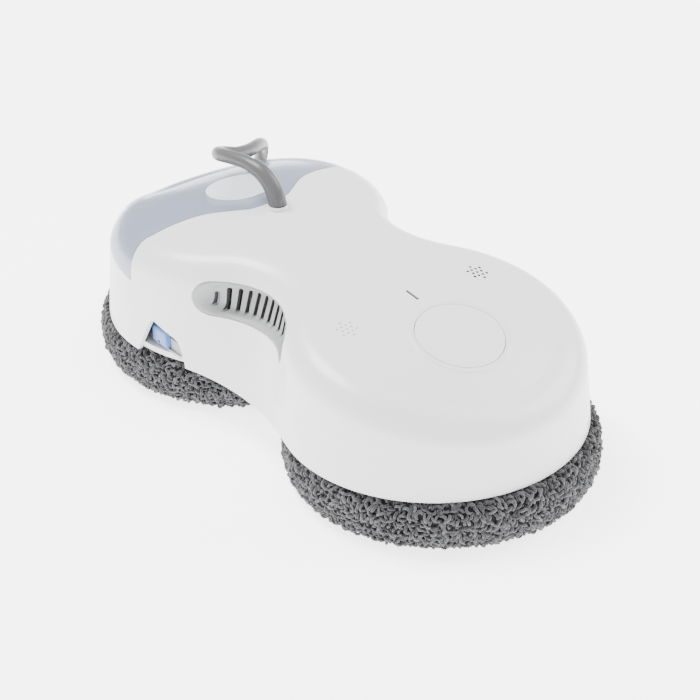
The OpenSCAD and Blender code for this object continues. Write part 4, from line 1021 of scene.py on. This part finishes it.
# Grille: a dished plate whose wall runs in softly, with upright slots
def grillePlate(name):
    v = vent
    skin = BVHTree.FromObject(bodyOuter, bpy.context.evaluated_depsgraph_get())
    bm = bmesh.new()
    ring = None
    for inset in v["rings"]:
        margin = v["gap"] + inset * (v["radius"] - v["gap"]) / v["radius"]
        corners = ventOutline(margin, v["endSteps"], v["sideSteps"])
        if ring:
            ring = nextRing(bm, ring)
        else:
            ring = bmesh.ops.create_circle(bm, segments=len(corners), radius=1)["verts"]
        for vert, (x, z) in zip(ring, corners):
            scoop = clip((v["scoopX"] - x) / v["scoopRun"])
            ramp = v["ramp"] + (v["scoopRamp"] - v["ramp"]) * scoop
            t = clip((inset - v["rampFrom"]) / ramp)
            face = skin.ray_cast(Vector((x, -2 * form["lobeR"], z)), Vector((0, 1, 0)))[0]
            vert.co = (x, face.y + v["lip"] + v["depth"] * t * t * (3 - 2 * t), z)
    bm.faces.new(ring)
    tip = v["endSteps"] // 2
    for i in range(1, len(ring) // 2):
        pair = [ring[(tip + i) % len(ring)], ring[(tip - i) % len(ring)]]
        bmesh.ops.connect_vert_pair(bm, verts=pair)
    outwards(bm)
    bm.normal_update()
    if sum(f.normal.y * f.calc_area() for f in bm.faces) > 0:
        bmesh.ops.reverse_faces(bm, faces=bm.faces)
    return thicken(addObject(name, bm), v["wall"])


def grilleSlots():
    v = vent
    (x0, z0), (x1, z1) = v["ends"]
    cutters = []
    for i in range(v["slots"]):
        x = v["slotX"][0] + (v["slotX"][1] - v["slotX"][0]) * i / (v["slots"] - 1)
        z = z0 + (z1 - z0) * (x - x0) / (x1 - x0) - v["slotDrop"]
        shorter = math.sqrt(max(0.1, 1 - (max(0, x - x1) / v["radius"]) ** 2))
        w, h = v["slotW"] / 2, v["slotH"] / 2 * shorter * (v["firstShare"] if i == 0 else 1)
        corners = [(x - w, z - h), (x + w, z - h), (x + w, z + h), (x - w, z + h)]
        corners = softCorners(corners, w * v["slotSoft"], v["slotSteps"])
        cutters.append(prism(corners, "xz", -form["waistDraft"], -form["lobeR"]))
    return joined("slots", cutters)


def makeGrille(name, side, node):
    plate = combine(grillePlate(name), grilleSlots(), "DIFFERENCE", solver="MANIFOLD")
    # Painted shade: the plate's inner side and its slot walls are marked to show dark
    shaded(plate, lambda c, n: vent["shade"] if n.y > 0.2 or abs(n.x) > 0.9 else 0)
    if side > 0:
        toOtherSide(plate)
    return done(plate, "grille", "root", node, sharpAngle=38)


makeGrille("rightGrille", -1, "right_vent_grille")
makeGrille("leftGrille", 1, "left_vent_grille")
print("grilles made")


def makeCollar():
    ring = placed(turned(collar["outline"], collar["sides"]), collar["x"])
    done(addObject("cableCollar", ring), "shell", "root", "cable_grommet", sharpAngle=60)


# Status light: a light pipe that stands a little below the shell
def makeStatusBar():
    c = lightBar
    bar = box((c["length"] - c["play"], c["width"] - c["play"], c["drop"] - c["sunk"]))
    placed(bar, 0, 0, -(c["drop"] + c["sunk"]) / 2)
    soften(bar, bar.edges[:], c["soft"])
    done(addObject("statusBar", moved(bar, lightPlace())), "light_pipe", "root", "status_light")


makeCollar()
makeStatusBar()
bpy.data.objects.remove(bodyOuter)

# Nozzle blocks: a rounded nose, soft edges and a spray hole
nozzle = {
    "x": -54.5, "y": 58.5, "z": 30.5, "width": 11, "depth": 9, "height": 10,
    "nose": 2.4, "noseSteps": 6, "soft": 0.45, "hole": 0.8, "holeZ": 2.5,
}


def makeNozzle(name, side, node):
    c = nozzle
    y0, y1, z0, z1 = c["y"], c["y"] + c["depth"], c["z"], c["z"] + c["height"]
    profile = softCorners([(y0, z0), (y1, z0), (y1, z1), (y0, z1)], c["nose"], c["noseSteps"])
    bm = prism(profile, "yz", c["x"] - c["width"] / 2, c["x"] + c["width"] / 2)
    soften(bm, [e for e in bm.edges if abs(e.verts[0].co.x - e.verts[1].co.x) < 0.01], c["soft"])
    piece = addObject(name, bm)
    outward = Matrix.Translation((c["x"], y1, z0 + c["holeZ"])) @ Matrix.Rotation(-math.pi / 2, 4, "X")
    drill = moved(tube(c["hole"], -c["depth"] / 2, c["depth"], sides["screw"]), outward)
    combine(piece, addObject("drill", drill), "DIFFERENCE", solver="MANIFOLD")
    if side < 0:
        toOtherSide(piece)
    return done(piece, "nozzle_blue", "root", node, sharpAngle=45)


makeNozzle("leftNozzle", 1, "left_nozzle")
makeNozzle("rightNozzle", -1, "right_nozzle")
print("small pieces made")

# Cleaning pads: a stuffed ring of backing, covered all over with short curls of chenille
pad = {
    "wheelX": 75.5,
    "backing": [
        (33.5, 1.6), (64, 1.6), (68.5, 2.6), (71.3, 6), (72.1, 11), (71.9, 16.5), (70.8, 20.5), (69, 22.2),
        (67.2, 22.6), (66.4, 21.8), (66.4, 7), (33.5, 7),
    ],
    "sides": 120, "spacing": 2.0,
    "floorFrom": 35, "floorTo": 64, "floorRows": 13, "floorSpacing": 2.7, "floorFlat": 0.62,
    "lowest": 0.02, "fill": 0.7,
}

# Curls: each kind has its sweep in degrees, its share of radius and yarn, and its twist
curl = {
    "kinds": [(230, 1, 1, 0.5), (205, 1.25, 0.95, -0.8), (250, 0.9, 1.12, 0.9), (190, 1.1, 1.05, -0.3)],
    "radius": 1.15, "yarn": 0.62, "endShare": 0.8, "swell": 0.25, "tall": 1.25, "steps": 6, "sides": 5,
    "sizes": (0.8, 1.3), "leanX": 0.55, "leanY": 0.45,
    "turnShift": 0.35, "rowShift": 0.6, "floorShift": 0.7,
    "rise": 0.1, "clumpRise": 0.5, "clumpScale": 0.3,
    # The curl's value: a base, a painted shade that follows how low its clump stands, and a random shift
    "toneAndShade": 0.55, "clumpShade": 0.45, "toneShift": (-0.25, 0.3),
}


# One curl of yarn: a short bent tube that stands on the XY plane, thinner at its ends
def curlMesh(sweep, r, yarn, twist):
    c = curl
    bm = bmesh.new()
    ring = bmesh.ops.create_circle(bm, segments=c["sides"], radius=1)["verts"]
    for i in range(c["steps"] + 1):
        if i:
            ring = nextRing(bm, ring)
        share = i / c["steps"]
        a = math.radians(90 + sweep / 2 - sweep * share)
        out = Vector((math.cos(a), 0, math.sin(a)))
        middle = Vector((out.x * r, twist * (share - 0.5) * 2, out.z * r * c["tall"]))
        thick = yarn * (c["endShare"] + c["swell"] * math.sin(math.pi * share))
        for k, v in enumerate(ring):
            b = 2 * math.pi * k / c["sides"]
            v.co = middle + (out * math.cos(b) + Vector((0, 1, 0)) * math.sin(b)) * thick
    closeEnds(bm)
    mesh = bpy.data.meshes.new("curl")
    bm.to_mesh(mesh)
    bm.free()
    mesh.attributes.new("toneAndShade", "FLOAT", "POINT")
    return mesh


# Places on the pad, first up its wall and then under it: a point of the backing, the way its curl stands, and
# how far round the wheel it is
def curlPlaces(dice):
    def shift(most):
        return dice.uniform(-most, most)

    profile = [Vector((r, 0, z)) for r, z in pad["backing"]]
    places = []
    for i in range(1, len(profile) - 3):
        a, b = profile[i], profile[i + 1]
        along = (b - a).normalized()
        out = Vector((along.z, 0, -along.x))
        rows = max(1, round((b - a).length / pad["spacing"]))
        for k in range(rows):
            at = a + (b - a) * ((k + 0.5) / rows)
            count = round(2 * math.pi * at.x / pad["spacing"])
            for j in range(count):
                turn = 2 * math.pi * (j + shift(curl["turnShift"]) + 0.5 * (k % 2)) / count
                places.append((at + along * shift(curl["rowShift"]), out, turn))
    low, rows = pad["floorFrom"], pad["floorRows"]
    for k in range(rows):
        r = low + (pad["floorTo"] - low) * (k + 0.5) / rows
        count = round(2 * math.pi * r / pad["floorSpacing"])
        for j in range(count):
            turn = 2 * math.pi * (j + shift(curl["turnShift"])) / count
            at = Vector((r + shift(curl["floorShift"]), 0, profile[0].z))
            places.append((at, Vector((0, 0, -1)), turn))
    return places


# A pad: copies of a few curls stand all over the turned backing, in clumps that lean together and are painted
# darker where they stand lower, as painted shade
def makePad(name, x, body, node, seed):
    c = curl
    dice = random.Random(seed)
    shapes = [curlMesh(sweep, c["radius"] * r, c["yarn"] * y, twist) for sweep, r, y, twist in c["kinds"]]
    backing = addObject("backing", turned(pad["backing"], pad["sides"]))
    # The backing keeps a value of 0, the darkest colour: painted shade between the curls
    backing.data.attributes.new("toneAndShade", "FLOAT", "POINT")
    whole = bmesh.new()
    whole.from_mesh(backing.data)
    bpy.data.objects.remove(backing)
    for at, out, turn in curlPlaces(dice):
        shape = dice.choice(shapes)
        size = dice.uniform(*c["sizes"])
        flat = pad["floorFlat"] if out.z < -0.9 else 1
        clump = noise.noise(Vector((at.x * math.cos(turn), at.x * math.sin(turn), at.z)) * c["clumpScale"])
        lean = Matrix.Rotation(dice.uniform(-c["leanX"], c["leanX"]), 4, "X")
        lean = lean @ Matrix.Rotation(dice.uniform(-c["leanY"], c["leanY"]), 4, "Y")
        spin = Matrix.Rotation(dice.uniform(0, 2 * math.pi), 4, "Z")
        stand = out.to_track_quat("Z", "Y").to_matrix().to_4x4() @ Matrix.Diagonal((1, 1, flat, 1))
        root = Matrix.Translation(at + out * (c["rise"] + c["clumpRise"] * clump) * flat)
        spot = Matrix.Rotation(turn, 4, "Z") @ root @ stand @ lean @ spin
        spot = Matrix.Translation((x, 0, 0)) @ spot @ Matrix.Scale(size, 4)
        # Painted shade: the clump term darkens curls that stand lower; the last term is random tone
        toneAndShade = c["toneAndShade"] + c["clumpShade"] * clump + dice.uniform(*c["toneShift"])
        shape.attributes["toneAndShade"].data.foreach_set("value", [toneAndShade] * len(shape.vertices))
        shape.transform(spot)
        whole.from_mesh(shape)
        shape.transform(spot.inverted())
    layer = whole.verts.layers.float.get("toneAndShade")
    for v in whole.verts:
        if v[layer] == 0:  # the backing has no tone, and still stands at the origin
            v.co.x += x
        v.co.z = max(v.co.z, pad["lowest"])
    piece = addObject(name, whole)
    for shape in shapes:
        bpy.data.meshes.remove(shape)
    done(piece, "pad_cloth", body, node, sharpAngle=180)
    return piece


frontPad = makePad("frontPad", pad["wheelX"], "front_wheel", "front_pad", 11)
makePad("rearPad", -pad["wheelX"], "rear_wheel", "rear_pad", 29)
print("pads made:", len(frontPad.data.polygons), "faces each")

# Stage: a pale floor that runs out of the view, and soft studio light
stage = {
    "floor": 6000, "floorSides": 96, "floorDrop": 0.2, "floorColour": (0.92, 0.92, 0.925), "floorGlow": 3.5,
    "worldColour": (1, 1, 1), "worldStrength": 1.0, "aim": (0, 0, 40),
    "lamps": [
        ("keyLamp", (-700, -300, 1500), 700, 52),
        ("fillLamp", (1000, -900, 700), 1200, 6),
        ("rearLamp", (500, 1200, 1000), 1000, 30),
    ],
}


def makeStage():
    c = stage
    bm = bmesh.new()
    bmesh.ops.create_circle(bm, cap_ends=True, segments=c["floorSides"], radius=c["floor"] * mm)
    placed(bm, 0, 0, -c["floorDrop"] * mm)
    floor = addObject("floor", bm)
    glow = {"Emission Color": (*c["floorColour"], 1), "Emission Strength": c["floorGlow"]}
    floor.data.materials.append(plastic("paleFloor", c["floorColour"], 0.7, 3, 0.0, 0.005, **glow))
    world = bpy.data.worlds.new("studio")
    world.use_nodes = True
    sky = world.node_tree.nodes["Background"]
    sky.inputs["Color"].default_value = (*c["worldColour"], 1)
    sky.inputs["Strength"].default_value = c["worldStrength"]
    bpy.context.scene.world = world
    for name, place, size, power in c["lamps"]:
        light = bpy.data.lights.new(name, "AREA")
        light.size, light.energy = size * mm, power
        lamp = newObject(name, light)
        lamp.location = Vector(place) * mm
        aim = Vector(c["aim"]) * mm - lamp.location
        lamp.rotation_euler = aim.to_track_quat("-Z", "Y").to_euler()


makeStage()
print("stage lit")
